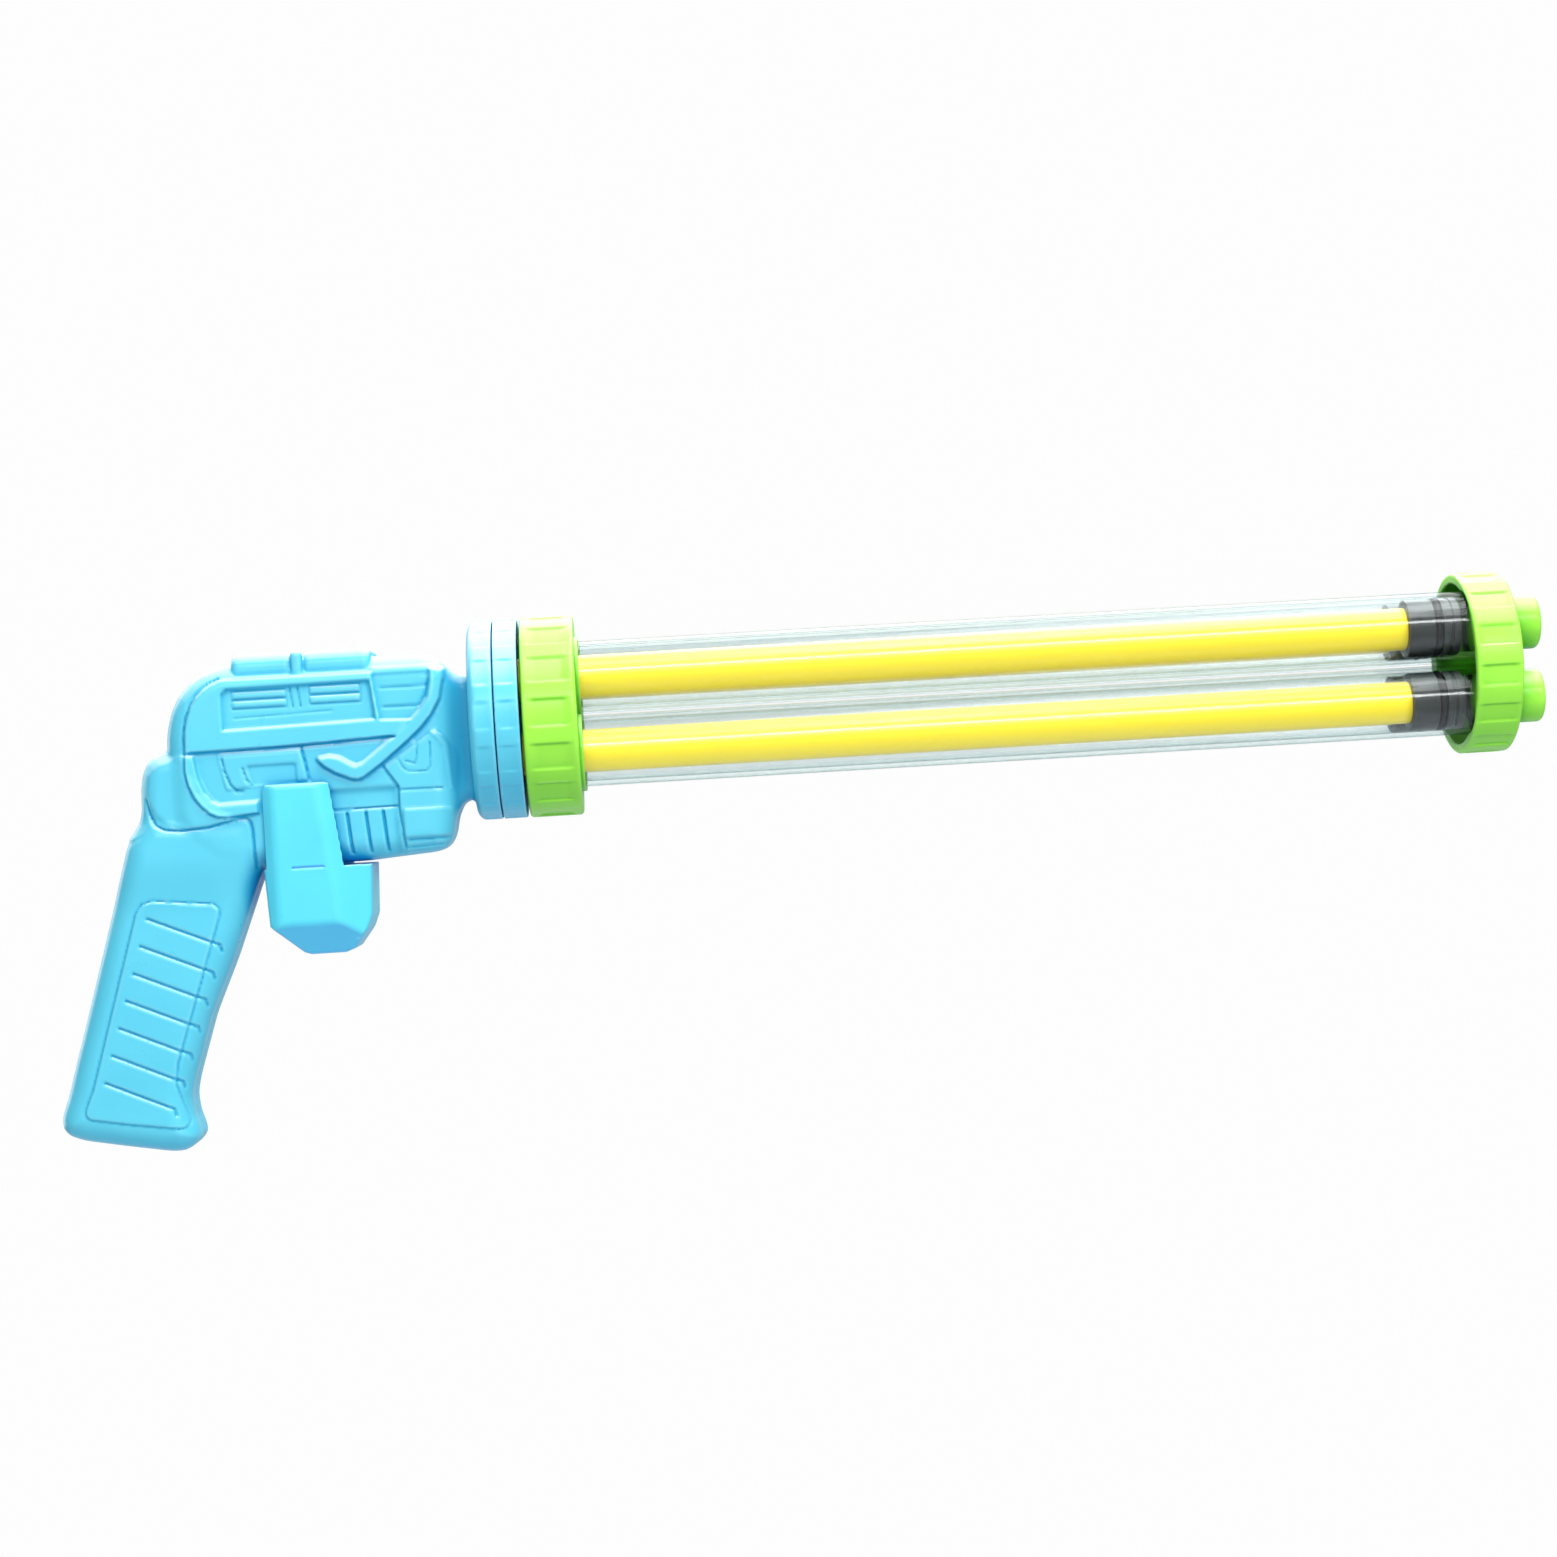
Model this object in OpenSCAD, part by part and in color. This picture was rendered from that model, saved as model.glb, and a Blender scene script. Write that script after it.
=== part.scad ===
// Pull-pump water squirter with four clear barrels, in millimetres.
// +X points forward along the barrel axis, +Z up, +Y to the left of the person holding it.
// The origin is on the barrel axis, at the front face of the front cap.

/* [Barrel tubes] */
// Outside diameter of each clear tube
tube_d = 21; // [18:0.5:21.5]
// Wall of each clear tube
tube_wall = 1.5; // [1:0.1:1.8]
// Distance between the axes of neighbouring tubes
tube_spacing = 22; // [21.6:0.2:23]
// Length of tube that shows between the rear ring and the front cap
tube_view_len = 266; // [160:1:320]

/* [Front cap] */
// Diameter of the front cap over its finger pads
cap_d = 54.8; // [54.4:0.2:60]
// Length of the front cap without its nozzles
cap_len = 14; // [12:0.5:20]
// Thickness of the front wall of the cap
cap_front_wall = 4; // [2.5:0.5:5]
// Thickness of the skirt around the tube ends
cap_skirt = 2.4; // [1.6:0.2:4]
// Thickness of the gasket under each tube end
seal_t = 1.5; // [1:0.1:2]
// Outside diameter of each nozzle
nozzle_d = 16; // [10:0.5:18]
// How far each nozzle stands out of the cap
nozzle_len = 8.5; // [5:0.5:14]
// Diameter of the water jet
jet_d = 2.2; // [1.4:0.1:3.2]
// Diameter of the post between the four tube ends
post_d = 7; // [4:0.5:8]
// Distance that the post reaches out behind the cap
post_len = 6; // [2:0.5:12]

/* [Rear ring] */
// Diameter of the rear ring over its finger pads
ring_d = 60; // [58:0.5:68]
// Length of the rear ring
ring_len = 16; // [13:0.5:24]
// Thickness of the rear wall of the ring
ring_back_wall = 2.5; // [2:0.5:4]
// Length of the bush that guides each rod
guide_len = 11; // [7:0.5:13]

/* [Finger pads] */
// Number of pads around the cap and the ring
pad_count = 14; // [8:1:20]
// Share of each pitch that a pad covers
pad_share = 0.62; // [0.4:0.02:0.8]
// Height of a pad
pad_h = 0.6; // [0.4:0.1:0.8]
// Smooth rim left beside the pads
pad_rim = 2.6; // [1.5:0.1:4]

/* [Plunger] */
// Diameter of each plunger rod
rod_d = 12.6; // [11:0.1:13.4]
// Wall of each plunger rod
rod_wall = 1.6; // [1.2:0.1:2.4]
// Thickness of the flange on the back end of each rod
rod_flange_t = 2; // [1.5:0.1:3]
// Width that the flange adds around the rod
rod_flange_w = 1.7; // [1:0.1:1.8]
// Length of each piston
piston_len = 15.5; // [13:0.5:22]
// Distance from the front of a pushed-in piston to the back of the cap
piston_lead = 2; // [1:0.5:6]
// Thickness of the ring seal on each piston
seal_ring_d = 2.1; // [1.6:0.1:2.4]
// Length of the plug on each piston that fits inside its rod
piston_plug_len = 10; // [6:0.5:16]

/* [Discs] */
// Diameter of the rod plate and of the grip flange
disc_d = 59.5; // [56:0.5:66]
// Thickness of the rod plate
plate_t = 7.4; // [5:0.1:12]
// Thickness of the grip flange
flange_t = 7.4; // [6:0.1:12]
// Gap left between the rod plate and the rear ring when pushed in
disc_gap = 0.8; // [0.4:0.1:2]
// Edge rounding of the discs
disc_edge = 1.2; // [0.6:0.1:2]

/* [Grip receiver] */
// Length of the neck between the flange and the receiver
neck_len = 5.5; // [3:0.5:10]
// Width of the neck
neck_w = 27; // [20:0.5:32]
// Length of the receiver
receiver_len = 84.5; // [80:0.5:110]
// Height of the receiver above the barrel axis
receiver_up = 20.6; // [19:0.1:24]
// Depth of the receiver below the barrel axis
receiver_down = 39.5; // [38:0.5:44]
// Width of the receiver
receiver_w = 33; // [30:0.5:38]
// Radius of the receiver's top rear corner
receiver_rear_r = 17; // [10:0.5:20]
// Edge rounding of the receiver and the guard
grip_edge = 6; // [3:0.5:8]
// Wall of the grip shells
shell_wall = 2; // [1.6:0.1:2.6]
// Height of the rail blocks over the receiver
rail_h = 2.8; // [1.5:0.1:4]
// Width of the rail blocks
rail_w = 20; // [14:0.5:24]
// Height of the raised ornament on the receiver's sides
relief_h = 0.8; // [0.4:0.1:1.2]

/* [Grip handle] */
// How far the hump behind the receiver reaches back
hump_reach = 8.4; // [6:0.2:12]
// Lean of the handle's back edge from upright, in degrees
handle_rake = 16.5; // [10:0.5:24]
// Extra lean of the handle's front edge, in degrees
handle_taper = 4.5; // [2:0.5:6]
// Depth of the handle from front to back where it leaves the receiver
handle_depth = 38; // [34:0.5:44]
// Depth below the barrel axis where the handle's base starts to flare
handle_down = 103; // [95:1:120]
// Height of the flared base
base_h = 12.5; // [10:0.5:18]
// How far the base flares out at the back
base_flare = 4.6; // [1:0.2:5]
// Slope of the base towards its front, in degrees
base_tilt = 10.5; // [4:0.5:14]
// Width of the handle
handle_w = 28; // [24:0.5:29]
// Edge rounding of the handle
handle_edge = 8; // [4:0.5:10]

/* [Finger guard] */
// Gap between the handle's front edge and the guard
guard_gap = 2; // [1:0.5:5]
// Length of the guard
guard_len = 31.5; // [26:0.5:32]
// Depth of the guard below the receiver
guard_drop = 25.8; // [18:0.2:34]
// Length of the guard's cheeks
cheek_len = 21; // [16:0.5:24]
// Height of the guard's cheeks
cheek_h = 25; // [16:0.5:28]
// Thickness of the guard's cheeks
cheek_t = 2.6; // [2:0.1:4]

/* [Fasteners] */
// Diameter of the screw shanks
screw_d = 3; // [2.5:0.1:3.2]
// Diameter of the screw heads
screw_head_d = 5.4; // [5:0.1:6]
// Height of the screw heads
screw_head_h = 1.8; // [1.2:0.1:2]
// Diameter of the screw bosses inside the grip
boss_d = 7.4; // [6.4:0.1:9]
// Diameter of the plate screws' bolt circle
plate_screw_circle = 48; // [46:0.5:50]

/* [Hidden] */

$fn = 96;

// Clearances
seat_gap = 0.05;
run_gap = 0.05;
hole_gap = 0.15;
piston_gap = 0.3;
ring_hole_gap = 1.5;
overlap = 0.5;
through = 1;

// Colours
green = "#a6f75e";
clear = "#d8f0ee";
yellow = "#efe528";
dark = "#4a4f4c";
blue = "#63d3f6";
cyan = "#66eefc";
steel = "#b8bcc0";
grey = "#d9dcdc";

// Stations along the barrel
cap_back = -cap_len;
tube_front = -cap_front_wall - seal_t;
ring_front = cap_back - tube_view_len;
ring_back = ring_front - ring_len;
tube_back = ring_back + ring_back_wall;
tube_len = tube_front - tube_back;
plate_front = ring_back - disc_gap;
plate_back = plate_front - plate_t;
flange_back = plate_back - flange_t;
piston_front = cap_back - piston_lead;
piston_back = piston_front - piston_len;
rod_len = piston_back - plate_back;

// Diameters that follow from the fits
tube_bore_d = tube_d - 2 * tube_wall;
guide_d = tube_bore_d - 2 * seat_gap;
guide_bore_d = rod_d + 2 * run_gap;
ring_hole_d = rod_d + 2 * ring_hole_gap;
rod_bore_d = rod_d - 2 * rod_wall;
rod_flange_d = rod_d + 2 * rod_flange_w;
piston_d = tube_bore_d - 2 * piston_gap;
seal_ring_outer_d = tube_bore_d - 2 * run_gap;
seal_groove_d = seal_ring_outer_d - 2 * seal_ring_d - 2 * seat_gap;
seal_groove_w = seal_ring_d + 2 * hole_gap;
wiper_groove_depth = 0.5;
wiper_groove_w = 1;
wiper_inset = 3.2;
seal_place = piston_len * 0.58;
tube_places = [[-1, 1], [1, 1], [-1, -1], [1, -1]] * tube_spacing / 2;

// Stations of the grip
receiver_front = flange_back - neck_len;
receiver_back = receiver_front - receiver_len;
hump_back = receiver_back - hump_reach;
hump_top = -3.6;
hump_bottom = -24;
handle_top = -31.5;
handle_kick = 4.6;
handle_back_top = hump_back - handle_kick;
handle_back_low = handle_back_top - (handle_down + handle_top) * tan(handle_rake);
handle_front_top = handle_back_top + handle_depth;
handle_front_z = -receiver_down - 2;
handle_front_low = handle_front_top - (handle_down + handle_front_z) * tan(handle_rake + handle_taper);
base_back = handle_back_low - base_flare;
base_front = handle_front_low + base_flare / 2;
base_back_z = -handle_down - base_h;
base_front_z = base_back_z - (base_front - base_back) * tan(base_tilt);
base_mid_z = -handle_down - base_h / 2;
base_shift = base_h / 2 * tan(handle_rake);

// Steps in the receiver's front, and the length of its rail blocks
chin_h = 14;
brow_h = 5;
brow_len = 5.5;
chin_slope = 3;
neck_step = 2;
rail_front = 23;
rail_gap = 1.6;
rail_len = (receiver_len - receiver_rear_r - rail_front - rail_gap) / 2 - 2;

// Outlines seen from the right side, anticlockwise, as [x, z, corner radius]
receiver_corners = [
    [receiver_front, -receiver_down + chin_h, 2],
    [receiver_front, receiver_up - brow_h, 2],
    [receiver_front - brow_len, receiver_up, 2.5],
    [receiver_back, receiver_up, receiver_rear_r],
    [receiver_back, handle_top, 6],
    [handle_front_top - handle_depth / 5, -receiver_down - overlap, 3],
    [receiver_front - chin_slope, -receiver_down, 5]
];
hump_corners = [
    [handle_front_top, hump_top, 1],
    [hump_back, hump_top, 7],
    [hump_back, hump_bottom, 3],
    [handle_back_top, handle_top, 1],
    [handle_front_top, handle_top, 1]
];
handle_corners = [
    [handle_front_top, hump_bottom, 1],
    [hump_back + hump_reach / 4, hump_bottom, 1],
    [handle_back_top, handle_top, 12],
    [handle_back_low, -handle_down, 1],
    [handle_back_low - base_shift, base_mid_z, 1],
    [handle_front_low - base_shift, base_mid_z, 1],
    [handle_front_low, -handle_down, 1],
    [handle_front_top, handle_front_z, 8]
];
base_corners = [
    [handle_back_low + overlap, -handle_down + base_h / 4, 3],
    [handle_back_low, -handle_down, 10],
    [base_back, base_back_z, 4],
    [base_front, base_front_z, 4.5],
    [handle_front_low - overlap, -handle_down - overlap, 8],
    [handle_front_low, -handle_down + base_h / 4, 1]
];

// The guard's block below the receiver, and one of its cheeks
guard_back = handle_front_top + guard_gap;
guard_front = guard_back + guard_len;
guard_top = -receiver_down - 2 * overlap;
guard_bottom = guard_top - guard_drop;
guard_slope_h = 9.2;
guard_corners = [
    [guard_front, guard_top, 0.5],
    [guard_back, guard_top, 0.5],
    [guard_back + 1, guard_bottom + guard_slope_h, 3],
    [guard_back + guard_len * 0.38, guard_bottom, 2.5],
    [guard_front - guard_len * 0.2, guard_bottom, 4],
    [guard_front, guard_bottom + guard_slope_h, 4]
];
cheek_front = guard_back + cheek_len;
cheek_top = guard_top + cheek_h;
cheek_root = guard_top - cheek_t;
cheek_corners = [
    [cheek_front, cheek_root, 0.5],
    [cheek_front, cheek_top, 3.5],
    [guard_back, cheek_top, 2],
    [guard_back, cheek_root, 0.5]
];
guard_w = receiver_w + 2 * cheek_t;
guard_screw_place = [(guard_back + cheek_front) / 2, guard_top + cheek_h / 2];

// Screw bosses: [x, z, half width of the grip there]
boss_margin = shell_wall + boss_d;
grip_screw_places = [
    [receiver_front - boss_margin, receiver_up - boss_margin, receiver_w / 2],
    [receiver_back + boss_margin + brow_h, receiver_up - boss_margin - brow_h, receiver_w / 2],
    [receiver_front - boss_margin - chin_slope, -receiver_down + boss_margin, receiver_w / 2],
    [handle_back_top + handle_depth * 0.3, -receiver_down - 2 * boss_d, handle_w / 2],
    [(handle_back_low + handle_front_low) / 2, -handle_down, handle_w / 2]
];
screw_seat_depth = 4;
screw_reach = 8;
plate_screw_angle = 16;
plate_screw_len = plate_t + flange_t - 1.4;

// Ornament on the receiver's sides: a sunk window, a raised ridge set out from the front, and vents
window_margin = 6;
window_low = 1;
window_corners = [
    [receiver_front - rail_front, window_low, 1.5],
    [receiver_front - rail_front, receiver_up - window_margin, 1.5],
    [receiver_back + receiver_rear_r, receiver_up - window_margin, 1.5],
    [receiver_back + receiver_rear_r, window_low, 1.5]
];
ridge_corners = [
    [receiver_front - 39.9, -9.6, 0.8],
    [receiver_front - 28.3, -16.6, 3.5],
    [receiver_front - 2.8, 4.5, 6],
    [receiver_front - 1.8, receiver_up - window_margin, 0.8],
    [receiver_front - 5.6, receiver_up - window_margin, 0.8],
    [receiver_front - 6.4, 7, 5],
    [receiver_front - 28.7, -12, 1.5],
    [receiver_front - 33.3, -8.4, 1.5]
];
vent_count = 3;
vent_pitch = 5.3;
vent_w = 1.2;
vent_len = 11;
vent_front = receiver_front - 20.5;
vent_top = -receiver_down + chin_h;

// A grooved panel on the handle's sides
panel_groove_w = 1.2;
panel_top = -receiver_down - handle_edge;
panel_low = -handle_down - base_h / 4;
panel_margin = handle_edge + 1;
panel_corners = [
    [handle_front_low - panel_margin, panel_low, 2],
    [handle_front_top - panel_margin, panel_top, 2],
    [handle_back_top + panel_margin, panel_top, 2],
    [handle_back_low + panel_margin, panel_low, 2]
];

// Half length of the prisms that the grip's forms are cut from
grip_reach = 2 * (receiver_len + handle_down);
// Smallest radius that an inset corner keeps
least_r = 0.05;
arc_steps = 5;

// Rounded outlines

function unit(v) = v / norm(v);
function left_of(d) = [-d[1], d[0]];
function limit(v) = max(-1, min(1, v));

// Points of the arc that rounds the corner p, between the directions d1 and d2, moved in by inset
function corner_arc(p, d1, d2, r, inset) =
    let (
        side = cross(d1, d2) < 0 ? -1 : 1,
        n1 = left_of(d1),
        n2 = left_of(d2),
        mitre = (n1 + n2) / (1 + n1 * n2),
        arc_r = max(least_r, r - side * inset),
        centre = p + mitre * (inset + side * arc_r),
        start = atan2(-side * n1[1], -side * n1[0]),
        sweep = side * acos(limit(d1 * d2))
    )
    [for (k = [0:arc_steps]) let (a = start + sweep * k / arc_steps) centre + arc_r * [cos(a), sin(a)]];

// Points of an anticlockwise outline of [x, z, r] corners, moved in by inset
function outline(corners, inset = 0) =
    let (n = len(corners))
    [for (i = [0:n - 1])
        let (
            before = corners[(i + n - 1) % n],
            here = corners[i],
            after = corners[(i + 1) % n],
            p = [here[0], here[1]],
            d1 = unit(p - [before[0], before[1]]),
            d2 = unit([after[0], after[1]] - p)
        )
        each corner_arc(p, d1, d2, here[2], inset)];

// Shared shapes

module along_x(x) {
    translate([x, 0, 0]) rotate([0, 90, 0]) children();
}

module at_tubes() {
    for (place = tube_places) translate([0, place[0], place[1]]) children();
}

module along_y(place) {
    translate([place[0], 0, place[1]]) rotate([90, 0, 0]) children();
}

// A disc with both edges bevelled, its axis along Z
module bevelled_disc(d, t, edge) {
    rotate_extrude() polygon([
        [0, 0], [d / 2 - edge, 0], [d / 2, edge],
        [d / 2, t - edge], [d / 2 - edge, t], [0, t]
    ]);
}

// A ring of raised pads, its axis along Z
module finger_pads(d, t) {
    pitch = 360 / pad_count;
    for (i = [0:pad_count - 1])
        rotate([0, 0, i * pitch - pitch * pad_share / 2])
            rotate_extrude(angle = pitch * pad_share)
                translate([d / 2 - pad_h - overlap, pad_rim])
                    square([pad_h + overlap, t - 2 * pad_rim]);
}

// A prism along Y, of an outline seen from the side
module side_prism(corners, inset = 0) {
    rotate([90, 0, 0]) linear_extrude(2 * grip_reach, center = true) polygon(outline(corners, inset));
}

// A prism along X of a rounded section, from y = -half_w to y = mid
module section_prism(half_w, low, high, edge, mid, inset = 0) {
    corners = [[mid, low, 1], [mid, high, 1], [-half_w, high, edge], [-half_w, low, edge]];
    translate([flange_back - grip_reach, 0, 0])
        rotate([90, 0, 90]) linear_extrude(2 * grip_reach) polygon(outline(corners, inset));
}

// A prism along Z of a rounded plan, from y = -half_w to y = mid
module plan_prism(half_w, back, front, back_edge, front_edge, mid, inset = 0) {
    corners = [[back, -half_w, back_edge], [front, -half_w, front_edge], [front, mid, 1], [back, mid, 1]];
    linear_extrude(2 * grip_reach, center = true) polygon(outline(corners, inset));
}

// A plate of an outline, from the middle plane's distance `from` to `to`, on the -Y side
module side_plate(corners, from, to, inset = 0) {
    rotate([90, 0, 0]) translate([0, 0, from]) linear_extrude(to - from) polygon(outline(corners, inset));
}

// Barrel

module front_cap() {
    color(green) {
        difference() {
            union() {
                along_x(cap_back) bevelled_disc(cap_d - 2 * pad_h, cap_len, pad_h);
                along_x(cap_back) finger_pads(cap_d, cap_len);
            }
            // The cup behind the front wall
            along_x(cap_back - through)
                cylinder(d = cap_d - 2 * pad_h - 2 * cap_skirt, h = through + cap_len / 2);
            // Sockets and water ways
            at_tubes() along_x(cap_back - through)
                cylinder(d = tube_d + 2 * seat_gap, h = through + cap_len - cap_front_wall);
            at_tubes() along_x(-cap_len) cylinder(d = jet_d, h = cap_len + through);
        }
        along_x(cap_back - post_len) cylinder(d = post_d, h = post_len + cap_len - overlap);
        at_tubes() along_x(0) difference() {
            translate([0, 0, -overlap]) bevelled_disc(nozzle_d, nozzle_len + overlap, overlap);
            translate([0, 0, -overlap - through])
                cylinder(d = jet_d, h = nozzle_len + 2 * overlap + 2 * through);
        }
    }
}

module tube(place) {
    color(clear, 0.35)
        translate([0, place[0], place[1]]) along_x(tube_back) difference() {
            cylinder(d = tube_d, h = tube_len);
            translate([0, 0, -through]) cylinder(d = tube_bore_d, h = tube_len + 2 * through);
        }
}

module tube_upper_right() { tube(tube_places[0]); }
module tube_upper_left() { tube(tube_places[1]); }
module tube_lower_right() { tube(tube_places[2]); }
module tube_lower_left() { tube(tube_places[3]); }

module tube_seals() {
    color(dark) at_tubes() along_x(tube_front) difference() {
        cylinder(d = tube_d, h = seal_t);
        translate([0, 0, -through]) cylinder(d = tube_bore_d, h = seal_t + 2 * through);
    }
}

module rear_ring() {
    color(green) difference() {
        union() {
            along_x(ring_back) bevelled_disc(ring_d - 2 * pad_h, ring_len, pad_h);
            along_x(ring_back) finger_pads(ring_d, ring_len);
        }
        at_tubes() along_x(tube_back)
            cylinder(d = tube_d + 2 * seat_gap, h = ring_len);
        at_tubes() along_x(ring_back - through)
            cylinder(d = ring_hole_d, h = ring_len);
    }
}

module rod_guides() {
    color(grey) at_tubes() along_x(tube_back) difference() {
        cylinder(d = guide_d, h = guide_len);
        translate([0, 0, -through]) cylinder(d = guide_bore_d, h = guide_len + 2 * through);
    }
}

// Plunger

module at_plate_screws() {
    for (y = [-1, 1], z = [-1, 1])
        translate([
            0,
            y * plate_screw_circle / 2 * sin(plate_screw_angle),
            z * plate_screw_circle / 2 * cos(plate_screw_angle)
        ]) children();
}

module rod_plate() {
    color(blue) difference() {
        along_x(plate_back) bevelled_disc(disc_d, plate_t, disc_edge);
        at_tubes() along_x(plate_back - through)
            cylinder(d = rod_d + 2 * seat_gap, h = plate_t + 2 * through);
        at_tubes() along_x(plate_back - through)
            cylinder(d = rod_flange_d + 2 * seat_gap, h = rod_flange_t + through);
        at_plate_screws() along_x(plate_back - through)
            cylinder(d = screw_d + 2 * hole_gap, h = plate_t + 2 * through);
        at_plate_screws() along_x(plate_front - screw_head_h)
            cylinder(d = screw_head_d + 2 * hole_gap, h = screw_head_h + through);
    }
}

module plunger_rod(place) {
    color(yellow) translate([0, place[0], place[1]]) along_x(plate_back) difference() {
        union() {
            cylinder(d = rod_d, h = rod_len);
            cylinder(d = rod_flange_d, h = rod_flange_t);
        }
        translate([0, 0, -through]) cylinder(d = rod_bore_d, h = rod_len + 2 * through);
    }
}

module plunger_rod_upper_right() { plunger_rod(tube_places[0]); }
module plunger_rod_upper_left() { plunger_rod(tube_places[1]); }
module plunger_rod_lower_right() { plunger_rod(tube_places[2]); }
module plunger_rod_lower_left() { plunger_rod(tube_places[3]); }

module piston(place) {
    groove_z = seal_place - seal_groove_w / 2;
    color(dark) translate([0, place[0], place[1]]) along_x(piston_back) {
        difference() {
            cylinder(d = piston_d, h = piston_len);
            translate([0, 0, groove_z]) difference() {
                cylinder(d = piston_d + through, h = seal_groove_w);
                cylinder(d = seal_groove_d, h = seal_groove_w);
            }
            translate([0, 0, piston_len - wiper_inset]) difference() {
                cylinder(d = piston_d + through, h = wiper_groove_w);
                cylinder(d = piston_d - 2 * wiper_groove_depth, h = wiper_groove_w);
            }
        }
        translate([0, 0, -piston_plug_len])
            cylinder(d = rod_bore_d - 2 * seat_gap, h = piston_plug_len + overlap);
    }
}

module piston_upper_right() { piston(tube_places[0]); }
module piston_upper_left() { piston(tube_places[1]); }
module piston_lower_right() { piston(tube_places[2]); }
module piston_lower_left() { piston(tube_places[3]); }

module piston_seals() {
    color(dark) at_tubes() along_x(piston_back + seal_place)
        rotate_extrude() translate([(seal_ring_outer_d - seal_ring_d) / 2, 0]) circle(d = seal_ring_d);
}

// Grip

// The receiver's right half, reaching just past the middle plane
module receiver_form(inset = 0) {
    mid = through + inset;
    intersection() {
        side_prism(receiver_corners, inset);
        section_prism(receiver_w / 2, -receiver_down - overlap, receiver_up, grip_edge, mid, inset);
        plan_prism(receiver_w / 2, receiver_back, receiver_front, grip_edge, grip_edge, mid, inset);
    }
}

module hump_form() {
    intersection() {
        side_prism(hump_corners);
        section_prism(handle_w / 2, -handle_down, hump_top, grip_edge, through);
        plan_prism(handle_w / 2, hump_back - handle_kick, receiver_front, grip_edge, grip_edge, through);
    }
}

// The handle between its head and its base, with its back and front edges rounded along their lean
module handle_form(inset = 0) {
    mid = through + inset;
    intersection() {
        side_prism(handle_corners, inset);
        translate([handle_back_top, 0, handle_top]) rotate([0, handle_rake, 0])
            plan_prism(handle_w / 2, 0, 2 * handle_depth, handle_edge, 1, mid, inset);
        translate([handle_front_top, 0, handle_front_z]) rotate([0, handle_rake + handle_taper, 0])
            plan_prism(handle_w / 2, -2 * handle_depth, 0, 1, handle_edge, mid, inset);
    }
}

module base_form() {
    intersection() {
        side_prism(base_corners);
        section_prism(handle_w / 2, base_front_z, 0, 3, through);
        plan_prism(handle_w / 2, base_back, base_front, handle_edge, handle_edge, through);
    }
}

module grip_half() {
    receiver_form();
    hump_form();
    handle_form();
    base_form();
}

module grip_half_cavity() {
    receiver_form(shell_wall);
    handle_form(shell_wall);
}

// The round flange and the neck that carries it, right half
module flange_half() {
    along_x(flange_back) bevelled_disc(disc_d, flange_t, disc_edge);
    neck_low = -receiver_down + chin_h + neck_step;
    neck_high = receiver_up - brow_h - neck_step;
    translate([receiver_front - shell_wall, -neck_w / 2, neck_low])
        cube([neck_len + shell_wall + overlap, neck_w / 2 + through, neck_high - neck_low]);
}

// Two rail blocks on top, right half
module rail_half() {
    for (back = [rail_len, 2 * rail_len + rail_gap])
        translate([receiver_front - rail_front - back, -rail_w / 2, receiver_up - shell_wall])
            cube([rail_len, rail_w / 2 + through, rail_h + shell_wall]);
}

// Ornament that stands out of the receiver's right side
module relief_half() {
    side_plate(ridge_corners, receiver_w / 2 - overlap, receiver_w / 2 + relief_h);
}

// Ornament cut into the right side
module relief_cuts_half() {
    side_plate(window_corners, receiver_w / 2 - relief_h, receiver_w / 2 + through);
    for (i = [0:vent_count - 1])
        translate([vent_front - i * vent_pitch, -receiver_w / 2 - through, vent_top - vent_len])
            cube([vent_w, relief_h + through, vent_len]);
    difference() {
        side_plate(panel_corners, handle_w / 2 - relief_h, handle_w / 2 + through);
        side_plate(panel_corners, 0, handle_w, panel_groove_w);
    }
}

module grip_bosses_half() {
    for (place = grip_screw_places) along_y(place)
        translate([0, 0, -through]) cylinder(d = boss_d, h = through + place[2] - shell_wall / 2);
}

// One hollow half of the grip, drawn on the right side
module shell_half() {
    difference() {
        union() {
            difference() {
                union() {
                    grip_half();
                    flange_half();
                    rail_half();
                    relief_half();
                }
                grip_half_cavity();
                relief_cuts_half();
            }
            grip_bosses_half();
        }
        translate([flange_back - grip_reach, 0, -grip_reach]) cube(2 * grip_reach);
    }
}

module plate_screw_pilots() {
    at_plate_screws() along_x(plate_front - plate_screw_len - hole_gap)
        cylinder(d = screw_d + 2 * seat_gap, h = plate_screw_len);
}

module grip_shell_right() {
    color(blue) difference() {
        shell_half();
        for (place = grip_screw_places) along_y(place)
            translate([0, 0, -through]) cylinder(d = screw_d + 2 * seat_gap, h = screw_reach + 2 * through);
        plate_screw_pilots();
    }
}

module grip_shell_left() {
    color(blue) difference() {
        union() {
            mirror([0, 1, 0]) shell_half();
            along_y(guard_screw_place)
                translate([0, 0, -receiver_w / 2 + shell_wall / 2]) cylinder(d = boss_d, h = screw_reach);
        }
        for (place = grip_screw_places) along_y(place) {
            translate([0, 0, -place[2] - through])
                cylinder(d = screw_d + 2 * hole_gap, h = place[2] + 2 * through);
            translate([0, 0, -place[2] - through])
                cylinder(d = screw_head_d + 2 * hole_gap, h = screw_seat_depth + through);
        }
        along_y(guard_screw_place) translate([0, 0, -receiver_w / 2 - through])
            cylinder(d = screw_d + 2 * seat_gap, h = screw_reach + through);
        plate_screw_pilots();
    }
}

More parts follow.
